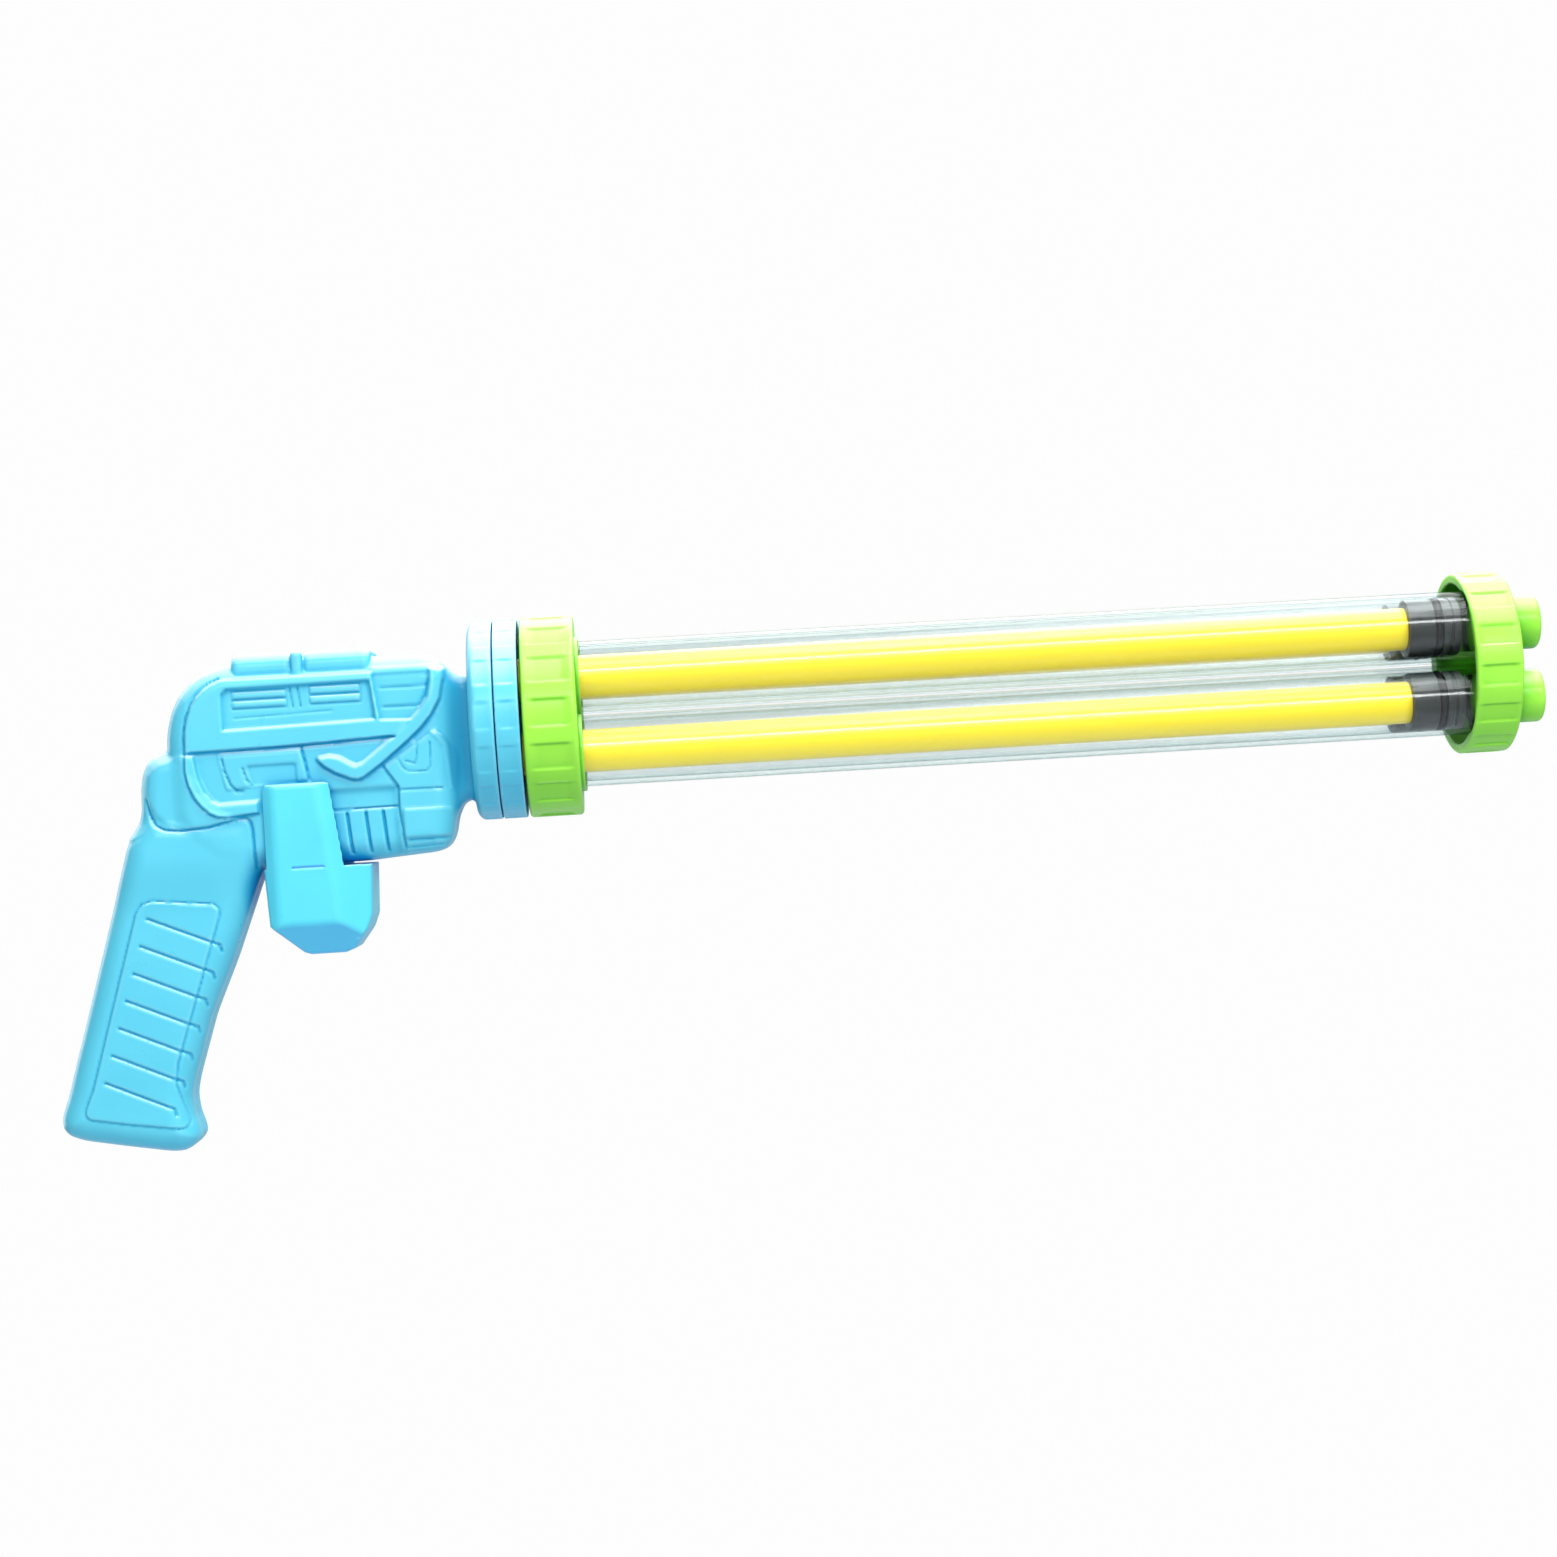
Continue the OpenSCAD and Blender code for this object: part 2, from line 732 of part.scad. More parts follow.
// The right half of the guard's block before its outline is cut
module guard_half() {
    intersection() {
        section_prism(guard_w / 2, guard_bottom, 0, grip_edge, through);
        plan_prism(guard_w / 2, guard_back, guard_front, grip_edge, grip_edge, through);
    }
}

module finger_guard() {
    color(cyan) difference() {
        union() {
            intersection() {
                side_prism(guard_corners);
                guard_half();
            }
            intersection() {
                side_prism(guard_corners);
                mirror([0, 1, 0]) guard_half();
            }
            side_plate(cheek_corners, -guard_w / 2, guard_w / 2);
        }
        // The slot that the receiver fits into
        translate([guard_back - through, -receiver_w / 2 - seat_gap, guard_top])
            cube([guard_len + 2 * through, receiver_w + 2 * seat_gap, cheek_h + through]);
        along_y(guard_screw_place) {
            translate([0, 0, -guard_w / 2 - through])
                cylinder(d = screw_d + 2 * hole_gap, h = cheek_t + 2 * through);
            translate([0, 0, -guard_w / 2 - through])
                cylinder(d = screw_head_d + 2 * hole_gap, h = screw_head_h + through);
        }
    }
}

// A pan-head screw along Z with its head's seat at 0 and its shank towards +Z
module screw(length) {
    slot_w = screw_head_d / 6;
    difference() {
        translate([0, 0, -screw_head_h]) cylinder(d = screw_head_d, h = screw_head_h);
        for (turn = [0, 90]) rotate([0, 0, turn])
            translate([-screw_head_d / 3, -slot_w / 2, -screw_head_h - through])
                cube([screw_head_d * 2 / 3, slot_w, through + screw_head_h / 2]);
    }
    cylinder(d = screw_d, h = length);
}

module grip_screws() {
    color(steel) for (place = grip_screw_places) along_y(place)
        translate([0, 0, -place[2] + screw_seat_depth]) screw(place[2] - screw_seat_depth + screw_reach);
}

module plate_screws() {
    color(steel) at_plate_screws() translate([plate_front - screw_head_h, 0, 0])
        rotate([0, -90, 0]) screw(plate_screw_len - screw_head_h);
}

module guard_screw() {
    color(steel) along_y(guard_screw_place)
        translate([0, 0, -guard_w / 2 + screw_head_h]) screw(cheek_t - screw_head_h + screw_reach - hole_gap);
}

front_cap();
tube_upper_right();
tube_upper_left();
tube_lower_right();
tube_lower_left();
tube_seals();
rear_ring();
rod_guides();
rod_plate();
plunger_rod_upper_right();
plunger_rod_upper_left();
plunger_rod_lower_right();
plunger_rod_lower_left();
piston_upper_right();
piston_upper_left();
piston_lower_right();
piston_lower_left();
piston_seals();
grip_shell_right();
grip_shell_left();
finger_guard();
grip_screws();
plate_screws();
guard_screw();
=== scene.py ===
import math

import bpy
import numpy as np
from mathutils import Matrix, Vector


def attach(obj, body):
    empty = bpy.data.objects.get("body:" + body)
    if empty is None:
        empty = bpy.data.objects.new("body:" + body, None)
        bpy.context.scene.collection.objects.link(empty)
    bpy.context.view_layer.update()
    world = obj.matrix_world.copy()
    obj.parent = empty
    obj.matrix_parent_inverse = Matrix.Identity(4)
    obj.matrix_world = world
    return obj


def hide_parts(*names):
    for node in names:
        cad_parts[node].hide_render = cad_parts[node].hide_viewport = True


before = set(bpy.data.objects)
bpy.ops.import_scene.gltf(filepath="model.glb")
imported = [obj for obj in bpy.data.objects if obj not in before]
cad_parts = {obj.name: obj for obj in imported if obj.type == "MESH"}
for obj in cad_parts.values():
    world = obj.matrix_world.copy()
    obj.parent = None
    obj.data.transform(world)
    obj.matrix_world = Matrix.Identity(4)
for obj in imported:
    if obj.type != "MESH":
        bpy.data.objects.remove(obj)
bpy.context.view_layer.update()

# Studio
# The squirter hangs in front of plain white, seen level from its right side with a slight roll. A
# long strip light above the camera draws one line of shine along the tubes, two broad ones overhead
# model the relief, a small one rims the grip's back, and a pale floor lies well below.
PICTURE_PX = 1557
FOCAL_PX = 3100
SENSOR_MM = 36
VIEW_TURN = math.radians(2.55)
CAMERA_ROLL = math.radians(3.4)
CAMERA_PLACE = (-0.2627, -0.9324, -0.0226)


class Value:
    """A node's output that Python's own operators work on."""

    def __init__(self, finish, socket):
        self.finish, self.socket = finish, socket

    def reckon(self, operation, a, b):
        return self.finish.node("Math", {"operation": operation}, {0: a, 1: b})

    def __add__(self, other):
        return self.reckon("ADD", self, other)

    def __sub__(self, other):
        return self.reckon("SUBTRACT", self, other)

    def __rsub__(self, other):
        return self.reckon("SUBTRACT", other, self)

    def __mul__(self, other):
        return self.reckon("MULTIPLY", self, other)

    __radd__ = __add__
    __rmul__ = __mul__


class Finish:
    """The node tree of a material or of the studio's surroundings."""

    def __init__(self, owner):
        owner.use_nodes = True
        self.owner, self.tree = owner, owner.node_tree
        self.tree.nodes.clear()

    def node(self, kind, settings=None, sockets=None, output=0):
        made = self.tree.nodes.new("ShaderNode" + kind)
        for name, value in (settings or {}).items():
            setattr(made, name, value)
        for name, value in (sockets or {}).items():
            if isinstance(value, Value):
                self.tree.links.new(value.socket, made.inputs[name])
            else:
                made.inputs[name].default_value = value
        return Value(self, made.outputs[output]) if made.outputs else None

    def mix(self, share, a, b):
        """Colour a, going over to colour b as share goes from 0 to 1."""
        settings = {"data_type": "RGBA", "clamp_factor": True}
        return self.node("Mix", settings, {0: share, 6: a, 7: b}, output=2)

    def spread(self, value, low, high):
        """0 where value is at low, 1 where it is at high, and straight between."""
        return self.node("MapRange", {"clamp": True}, {0: value, 1: low, 2: high})

    def noise(self, place, scale, detail=2.0, stretch=None):
        if stretch:
            place = self.node("Mapping", {}, {"Vector": place, "Scale": stretch})
        return self.node("TexNoise", {}, {"Vector": place, "Scale": scale, "Detail": detail})

    def surface(self, sockets):
        shader = self.node("BsdfPrincipled", {}, sockets)
        self.node("OutputMaterial", {}, {"Surface": shader})
        return self.owner


def area_light(name, place, target, width, height, radiance):
    lamp = bpy.data.lights.new(name, "AREA")
    lamp.shape, lamp.size, lamp.size_y = "RECTANGLE", width, height
    lamp.energy = math.pi * width * height * radiance
    holder = bpy.data.objects.new(name, lamp)
    holder.location = place
    holder.rotation_euler = (Vector(target) - Vector(place)).to_track_quat("-Z", "Y").to_euler()
    bpy.context.scene.collection.objects.link(holder)


ahead = Vector((math.sin(VIEW_TURN), math.cos(VIEW_TURN), 0))
level = Vector((math.cos(VIEW_TURN), -math.sin(VIEW_TURN), 0))
upright = Vector((0, 0, 1))
picture_right = math.cos(CAMERA_ROLL) * level - math.sin(CAMERA_ROLL) * upright
picture_up = math.sin(CAMERA_ROLL) * level + math.cos(CAMERA_ROLL) * upright
lens = bpy.data.cameras.new("camera")
lens.sensor_width = SENSOR_MM
lens.lens = FOCAL_PX / PICTURE_PX * SENSOR_MM
camera = bpy.data.objects.new("camera", lens)
camera.matrix_world = (
    Matrix.Translation(CAMERA_PLACE)
    @ Matrix((picture_right, picture_up, -ahead)).transposed().to_4x4()
)
bpy.context.scene.collection.objects.link(camera)
bpy.context.scene.camera = camera
bpy.context.scene.view_settings.view_transform = "Standard"

area_light("strip_light", (0, -1.15, 0.42), (-0.15, 0, 0), 1.5, 0.15, 15.0)
area_light("overhead_light", (0.08, -0.3, 0.85), (-0.22, 0, 0), 1.4, 0.7, 6.0)
area_light("back_overhead_light", (-0.2, 0.75, 0.75), (-0.2, 0, 0), 1.6, 0.7, 5.0)
area_light("rear_rim_light", (-1.0, 0.5, 0.1), (-0.4, 0, -0.04), 0.4, 0.8, 2.5)

world = bpy.data.worlds.new("surroundings")
bpy.context.scene.world = world
around = Finish(world)
heading = around.node("TexCoord", output="Generated")
height = around.node("SeparateXYZ", {}, {0: heading}, output="Z")
depth = around.node("SeparateXYZ", {}, {0: heading}, output="Y")
seen = around.node("LightPath", output="Is Camera Ray")
sides, front, back = (0.2, 0.22, 0.27, 1), (0.8, 0.81, 0.83, 1), (0.55, 0.62, 0.7, 1)
under, white = (0.4, 0.41, 0.45, 1), (0.985, 0.985, 0.985, 1)
glow = around.mix(around.spread(depth, -0.15, -0.95), sides, front)
glow = around.mix(around.spread(height, -0.3, -0.9), glow, under)
glow = around.mix(around.spread(depth, 0.25, 0.9), glow, back)
sky = around.node("Background", {}, {"Color": around.mix(seen, glow, white), "Strength": 1.0})
around.node("OutputWorld", {}, {"Surface": sky})

FLOOR_R, FLOOR_X, FLOOR_Z, FLOOR_SIDES = 0.8, -0.2, -0.5, 128
floor_mesh = bpy.data.meshes.new("floor")
turns = [2 * math.pi * i / FLOOR_SIDES for i in range(FLOOR_SIDES)]
floor_rim = [(FLOOR_X + FLOOR_R * math.cos(a), FLOOR_R * math.sin(a), FLOOR_Z) for a in turns]
floor_mesh.from_pydata(floor_rim, [], [list(range(FLOOR_SIDES))])
floor = bpy.data.objects.new("floor", floor_mesh)
bpy.context.scene.collection.objects.link(floor)
paper = Finish(bpy.data.materials.new("pale_paper"))
fibres = paper.noise(paper.node("TexCoord", output="Object"), 900.0, 3.0)
paper_colour = paper.mix(fibres, (0.5, 0.52, 0.55, 1), (0.55, 0.57, 0.6, 1))
floor_mesh.materials.append(paper.surface({"Base Color": paper_colour, "Roughness": 0.85}))

# Front cap
# One lime green moulding: a cup with finger pads outside that the four tube ends are glued into,
# a post between them, and four round nozzles with webs on its front face, each with a jet hole.
MM = 0.001
TUBE_PITCH = 22.0
TUBE_R = 10.5
SOCKET_R = TUBE_R + 0.05
PAD_COUNT = 14
CAP_BACK, CAP_R, CAP_BORE_R, CAP_FLOOR, SOCKET_FRONT = -14.0, 27.4, 24.4, -7.0, -4.0
CAP_PANELS, CAP_GRID = (0.6, 0.5, 1.5, 16), 28
NOZZLE_R, NOZZLE_ROOT, NOZZLE_FRONT = 8.0, -2.0, 8.5
JET_R, JET_BACK, MOUTH_DEPTH, MOUTH_FLARE = 1.1, -6.0, 1.2, 1.1
WEB_HALF, WEB_REACH, WEB_FRONT = 1.4, 5.0, 3.2
POST_R, POST_BACK = 3.5, -20.0
MESH_STEP, GRID_SHIFT = 0.4, 0.13
TUBE_PLACES = {
    "upper_right": (-TUBE_PITCH / 2, TUBE_PITCH / 2),
    "upper_left": (TUBE_PITCH / 2, TUBE_PITCH / 2),
    "lower_right": (-TUBE_PITCH / 2, -TUBE_PITCH / 2),
    "lower_left": (TUBE_PITCH / 2, -TUBE_PITCH / 2),
}


def mould(name, field, low, high, step):
    """A closed mesh of the surface where field(x, y, z), in millimetres, crosses zero.

    The field is negative inside. Each cell of the grid that the surface passes gets one point, at
    the mean of its edges' crossings, and the points then slide onto the surface itself. The grid is
    shifted off the round sizes, so that none of its own points lies just on a face.
    """
    margin = (1 + GRID_SHIFT) * step
    axes = [np.arange(a - margin, b + 2 * step, step) for a, b in zip(low, high)]
    values = field(axes[0][:, None, None], axes[1][None, :, None], axes[2][None, None, :])
    values = np.broadcast_to(values, [len(a) for a in axes])
    cells, sums, loops = [], [], []
    for axis in range(3):
        side, other = (axis + 1) % 3, (axis + 2) % 3
        first = np.take(values, range(values.shape[axis] - 1), axis)
        second = np.take(values, range(1, values.shape[axis]), axis)
        crossed = (first < 0) != (second < 0)
        corner = np.argwhere(crossed)
        a, b = first[crossed], second[crossed]
        spot = corner.astype(float)
        spot[:, axis] += a / (a - b)
        ring = []
        for back_side, back_other in ((1, 1), (0, 1), (0, 0), (1, 0)):
            cell = corner.copy()
            cell[:, side] -= back_side
            cell[:, other] -= back_other
            ring.append(np.ravel_multi_index(cell.T, values.shape))
            cells.append(ring[-1])
            sums.append(spot)
        ring = np.stack(ring, 1)
        loops.append(np.where((a < 0)[:, None], ring, ring[:, ::-1]))
    used, index = np.unique(np.concatenate(cells), return_inverse=True)
    spots = np.concatenate(sums)
    count = np.bincount(index)
    points = np.stack([np.bincount(index, spots[:, k]) / count for k in range(3)], 1)
    points = points * step + [a[0] for a in axes]
    near, reach = 0.1 * step, 0.4 * step
    for _ in range(2):
        here = field(*points.T)
        slope = np.stack(
            [field(*(points + near * np.eye(3)[k]).T) - here for k in range(3)], 1
        ) / near
        push = here / np.maximum((slope ** 2).sum(1), 0.2)
        points = points - np.clip(push, -reach, reach)[:, None] * slope
    mesh = bpy.data.meshes.new(name)
    faces = np.searchsorted(used, np.concatenate(loops))
    mesh.from_pydata((points * MM).tolist(), [], faces.tolist())
    mesh.polygons.foreach_set("use_smooth", [True] * len(mesh.polygons))
    piece = bpy.data.objects.new(name, mesh)
    bpy.context.scene.collection.objects.link(piece)
    return piece


def meet(a, b, r):
    """The part of a that is also in b, with the edge between them rounded by r."""
    a, b = a + r, b + r
    return np.minimum(np.maximum(a, b), 0) + np.hypot(np.maximum(a, 0), np.maximum(b, 0)) - r


def join(a, b, r):
    """a and b together, with a fillet of about r where they meet."""
    blend = np.maximum(r - np.abs(a - b), 0) / r
    return np.minimum(a, b) - blend * blend * r / 4


def between(value, low, high):
    return np.abs(value - (low + high) / 2) - (high - low) / 2


def fade(distance, width):
    """1 well inside an outline and 0 outside it, with a soft edge of that width."""
    share = np.clip(0.5 - distance / width, 0, 1)
    return share * share * (3 - 2 * share)


def rod_field(x, y, z, back, front, r, place=(0, 0), edge=0.3):
    """A round bar along X."""
    return meet(np.hypot(y - place[0], z - place[1]) - r, between(x, back, front), edge)


def at_tubes(shape):
    """The same shape at each of the four tubes, as one field."""
    fields = [shape(place) for place in TUBE_PLACES.values()]
    return np.minimum(np.minimum(fields[0], fields[1]), np.minimum(fields[2], fields[3]))


def gripped_rim(x, y, z, back, front, r, panels, edge):
    """A disc along X with sunk panels round its rim, which leave pads to grip between them.

    panels gives their depth, share of the pitch, distance from the rim's edges, and first place in
    degrees. They fade out towards the edges, so only their upper and lower sides show as lines.
    """
    depth, share, bare, first = panels
    pitch = 2 * math.pi * r / PAD_COUNT
    turn = (np.arctan2(z, -y) - math.radians(first)) / (2 * math.pi) * PAD_COUNT
    along = np.abs(turn - np.round(turn)) * pitch
    ends = between(x, back + bare, front - bare)
    sunk = depth * fade(along - share * pitch / 2, 0.9) * fade(ends, 3.6)
    return meet(np.hypot(y, z) - r + sunk, between(x, back, front), edge)


def cap_field(x, y, z):
    cap = gripped_rim(x, y, z, CAP_BACK, 0, CAP_R, CAP_PANELS, 1.1)
    cup = meet(np.hypot(y, z) - CAP_BORE_R, x - CAP_FLOOR, 0.5)
    sockets = at_tubes(
        lambda p: meet(np.hypot(y - p[0], z - p[1]) - SOCKET_R, x - SOCKET_FRONT, 0.2)
    )
    cap = np.maximum(cap, -np.minimum(cup, sockets))
    cap = join(cap, rod_field(x, y, z, POST_BACK, NOZZLE_ROOT, POST_R, edge=0.8), 0.6)
    nozzles = at_tubes(lambda p: rod_field(x, y, z, NOZZLE_ROOT, NOZZLE_FRONT, NOZZLE_R, p, 1.5))
    webs = np.minimum(
        meet(np.abs(np.abs(y) - TUBE_PITCH / 2) - WEB_HALF, np.abs(z) - WEB_REACH, 0.4),
        meet(np.abs(np.abs(z) - TUBE_PITCH / 2) - WEB_HALF, np.abs(y) - WEB_REACH, 0.4),
    )
    webs = meet(webs, between(x, NOZZLE_ROOT, WEB_FRONT), 0.4)
    cap = join(cap, np.minimum(nozzles, webs), 0.5)
    widened = np.maximum(x - NOZZLE_FRONT + MOUTH_DEPTH, 0) * MOUTH_FLARE
    jets = at_tubes(lambda p: np.hypot(y - p[0], z - p[1]) - JET_R - widened)
    return np.maximum(cap, -np.maximum(jets, JET_BACK - x))


def moulded(name, colour, shade, pale, rough):
    """Injection-moulded plastic: faint flow marks, fine tool grain and paler, rougher convex edges.

    Convex edges get a painted highlight mixed with rubbed wear, faces turned up a painted
    highlight, and creases, hollows and undersides painted shade.
    """
    finish = Finish(bpy.data.materials.new(name))
    place = finish.node("TexCoord", output="Object")
    flow = finish.noise(place, 42.0, 4.0)
    grain = finish.noise(place, 2800.0, 1.0)
    ripple = finish.noise(place, 170.0, 2.0)
    bend = finish.node("NewGeometry", output="Pointiness")
    facing = finish.node("NewGeometry", output="Normal")
    upward = finish.node("SeparateXYZ", {}, {0: facing}, output="Z")
    open_sky = finish.node("AmbientOcclusion", {"samples": 6}, {"Distance": 0.008}, output="AO")
    # Convex edges painted paler and made rougher: a painted highlight mixed with rubbed wear.
    edge_wear_and_highlight = finish.spread(bend, 0.508, 0.57) * finish.spread(flow, 0.2, 0.6) * 0.22
    # Painted highlight: faces turned up are mixed towards the pale colour.
    painted_top_highlight = finish.spread(upward, 0.3, 0.75) * (1 - finish.spread(upward, 0.8, 1.0) * 0.75) * 0.6
    # Painted shade: creases, and places the ambient occlusion finds closed in, are mixed towards
    # the shade colour.
    painted_crease_shade = finish.spread(bend, 0.495, 0.44) * 0.6 + finish.spread(open_sky, 0.96, 0.42)
    # Painted shade: faces turned down are mixed towards the shade colour.
    under = finish.spread(upward, -0.25, -0.75) * 0.35
    tone = finish.mix(finish.spread(flow, 0.3, 0.7) * 0.15 + painted_crease_shade + under, colour, shade)
    tone = finish.mix(edge_wear_and_highlight + painted_top_highlight, tone, pale)
    relief = finish.node(
        "Bump", {}, {"Strength": 0.25, "Distance": 0.00006, "Height": grain * 0.5 + ripple}
    )
    return finish.surface({
        "Base Color": tone,
        "Roughness": rough + ripple * 0.12 + edge_wear_and_highlight * 0.2 - 0.06,
        "Specular IOR Level": 0.3,
        "Normal": relief,
    })


def paint(code, level=1.0):
    """The linear colour of a #rrggbb code, times level."""
    parts = [int(code[i:i + 2], 16) / 255 for i in (1, 3, 5)]
    linear = [p / 12.92 if p < 0.04045 else ((p + 0.055) / 1.055) ** 2.4 for p in parts]
    return (*[level * v for v in linear], 1.0)


# The second colour is mixed in as random tone and painted shade, the third as painted highlight and
# edge wear.
green_plastic = moulded(
    "green_plastic", paint("#92db42"), paint("#46b012", 0.8), paint("#bdf08a", 0.85), 0.3
)
front_cap = mould(
    "front_cap_moulding", cap_field,
    (POST_BACK, -CAP_GRID, -CAP_GRID), (NOZZLE_FRONT, CAP_GRID, CAP_GRID), MESH_STEP,
)
front_cap.data.materials.append(green_plastic)
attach(front_cap, "barrel")
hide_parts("front_cap")

# Clear tubes
# Four extruded clear plastic tubes, cut square with their ends broken, glued into the cap in front
# and into the rear ring behind. Drawing lines run along them and the tint shows at their edges.
TUBE_BORE_R = 9.0
TUBE_BACK, TUBE_FRONT = -293.5, -5.5


def turned(name, profile, place, sides=112, crease=0.5):
    """A closed turned piece along X: profile is a closed line of (x, radius) points."""
    mesh = bpy.data.meshes.new(name)
    steps = np.arange(sides) * 2 * math.pi / sides
    points = [
        (x, place[0] + r * math.cos(a), place[1] + r * math.sin(a))
        for a in steps for x, r in profile
    ]
    n = len(profile)
    faces = [
        (i * n + k, i * n + (k + 1) % n, (i + 1) % sides * n + (k + 1) % n, (i + 1) % sides * n + k)
        for i in range(sides) for k in range(n)
    ]
    mesh.from_pydata([[v * MM for v in p] for p in points], [], faces)
    mesh.polygons.foreach_set("use_smooth", [True] * len(faces))
    mesh.set_sharp_from_angle(angle=crease)
    mesh.flip_normals()
    piece = bpy.data.objects.new(name, mesh)
    bpy.context.scene.collection.objects.link(piece)
    return piece


def eased(corners, cut):
    """A closed line of points, with each corner cut back by a short bevel of three points."""
    line = []
    for before, here, after in zip(corners[-1:] + corners[:-1], corners, corners[1:] + corners[:1]):
        back, on = Vector(before) - Vector(here), Vector(after) - Vector(here)
        a, b = (Vector(here) + d.normalized() * min(cut, d.length / 3) for d in (back, on))
        middle = (a + b) / 4 + Vector(here) / 2
        line += [tuple(a), tuple(middle), tuple(b)]
    return line


clear = Finish(bpy.data.materials.new("clear_plastic"))
clear_place = clear.node("TexCoord", output="Object")
drawn = clear.noise(clear_place, 1500.0, 2.0, (0.02, 1, 1))
haze = clear.noise(clear_place, 60.0, 3.0)
clear_bump = clear.node("Bump", {}, {"Strength": 0.03, "Distance": 0.00004, "Height": drawn})
slant = clear.node("LayerWeight", {}, {"Blend": 0.5}, output="Facing")
steep = slant * slant
thin_wall = clear.node("BsdfTransparent", {}, {"Color": (0.98, 0.987, 0.986, 1)})
long_wall = clear.node("BsdfTransparent", {}, {"Color": (0.62, 0.72, 0.72, 1)})
wall = clear.node("MixShader", {}, {0: steep * 0.7 + haze * 0.02, 1: thin_wall, 2: long_wall})
shine = clear.node("BsdfPrincipled", {}, {
    "Base Color": clear.mix(haze, (0.94, 0.97, 0.97, 1), (0.97, 0.99, 0.99, 1)),
    "Metallic": 1.0,
    "Roughness": 0.04 + haze * 0.06,
    "Normal": clear_bump,
})
mirrored = 0.022 + steep * steep * slant * 0.3
clear.node("OutputMaterial", {}, {
    "Surface": clear.node("MixShader", {}, {0: mirrored, 1: wall, 2: shine}),
})
clear_plastic = clear.owner
bpy.context.scene.cycles.transparent_max_bounces = 40
tube_line = eased([
    (TUBE_BACK, TUBE_BORE_R), (TUBE_BACK, TUBE_R), (TUBE_FRONT, TUBE_R), (TUBE_FRONT, TUBE_BORE_R),
], 0.35)
for side, place in TUBE_PLACES.items():
    tube = turned(f"clear_tube_{side}", tube_line, place)
    tube.data.materials.append(clear_plastic)
    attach(tube, "barrel")
    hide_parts(f"tube_{side}")

# Tube gaskets
# Flat black rubber rings at the bottom of the cap's sockets, pressed there by the tube ends.
rubber = Finish(bpy.data.materials.new("seal_rubber"))
rubber_place = rubber.node("TexCoord", output="Object")
bloom = rubber.noise(rubber_place, 240.0, 3.0)
rubber_grain = rubber.noise(rubber_place, 4200.0)
rubber_bump = rubber.node(
    "Bump", {}, {"Strength": 0.3, "Distance": 0.00005, "Height": rubber_grain}
)
seal_rubber = rubber.surface({
    "Base Color": rubber.mix(bloom, (0.004, 0.004, 0.004, 1), (0.01, 0.01, 0.011, 1)),
    "Roughness": 0.55 + bloom * 0.2,
    "Specular IOR Level": 0.25,
    "Normal": rubber_bump,
})


def dress(node, material):
    """Gives a CAD node that stays in view its finish."""
    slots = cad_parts[node].data.materials
    slots.clear()
    slots.append(material)


dress("tube_seals", seal_rubber)

# Rear ring
# A lime green moulding with rounded finger pads around it. The tubes are glued into its four
# sockets, with a thin collar round each, and the rods pass through holes in its back wall.
RING_BACK, RING_FRONT, RING_R = -296.0, -280.0, 29.88
RING_PANELS, RING_GRID = (0.6, 0.6, 2.6, 1.3), 30
ROD_HOLE_R = 7.8
COLLAR_R, COLLAR_LEN = 11.9, 1.2


def ring_field(x, y, z):
    ring = gripped_rim(x, y, z, RING_BACK, RING_FRONT, RING_R, RING_PANELS, 1.1)
    collars = at_tubes(
        lambda p: rod_field(x, y, z, RING_FRONT - 1, RING_FRONT + COLLAR_LEN, COLLAR_R, p, 0.4)
    )
    sockets = at_tubes(lambda p: meet(np.hypot(y - p[0], z - p[1]) - SOCKET_R, TUBE_BACK - x, 0.2))
    holes = at_tubes(lambda p: np.hypot(y - p[0], z - p[1]) - ROD_HOLE_R)
    return np.maximum(join(ring, collars, 0.4), -np.minimum(sockets, holes))


rear_ring = mould(
    "rear_ring_moulding", ring_field, (RING_BACK, -RING_GRID, -RING_GRID),
    (RING_FRONT + COLLAR_LEN, RING_GRID, RING_GRID), MESH_STEP,
)
rear_ring.data.materials.append(green_plastic)
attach(rear_ring, "barrel")
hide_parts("rear_ring")

# Rod guides
# Natural white plastic bushes pressed into the back ends of the tubes, which keep the rods central.
# The second colour is mixed in as random tone and painted shade, the third as painted highlight and
# edge wear.
guide_plastic = moulded(
    "guide_plastic", (0.62, 0.65, 0.64, 1), (0.5, 0.53, 0.52, 1), (0.75, 0.77, 0.76, 1), 0.45
)
dress("rod_guides", guide_plastic)

# Rod plate
# The front one of the two sky blue discs, a solid moulding with low pads on its rim. The rods are
# held in its four holes, and four screws in counterbores fix it to the grip's own flange.
PLATE_BACK, PLATE_FRONT, DISC_R = -304.2, -296.8, 29.75
ROD_R, ROD_SEAT_R = 6.3, 6.35
SCREW_SEAT_R, SCREW_HEAD_H = 2.85, 1.8
PLATE_SCREW_CIRCLE_R, PLATE_SCREW_TURN = 24.0, math.radians(16)
DISC_PANELS = (0.28, 0.6, 1.5, 1.3)
PARTING_W, PARTING_DEPTH = 0.35, 2.5


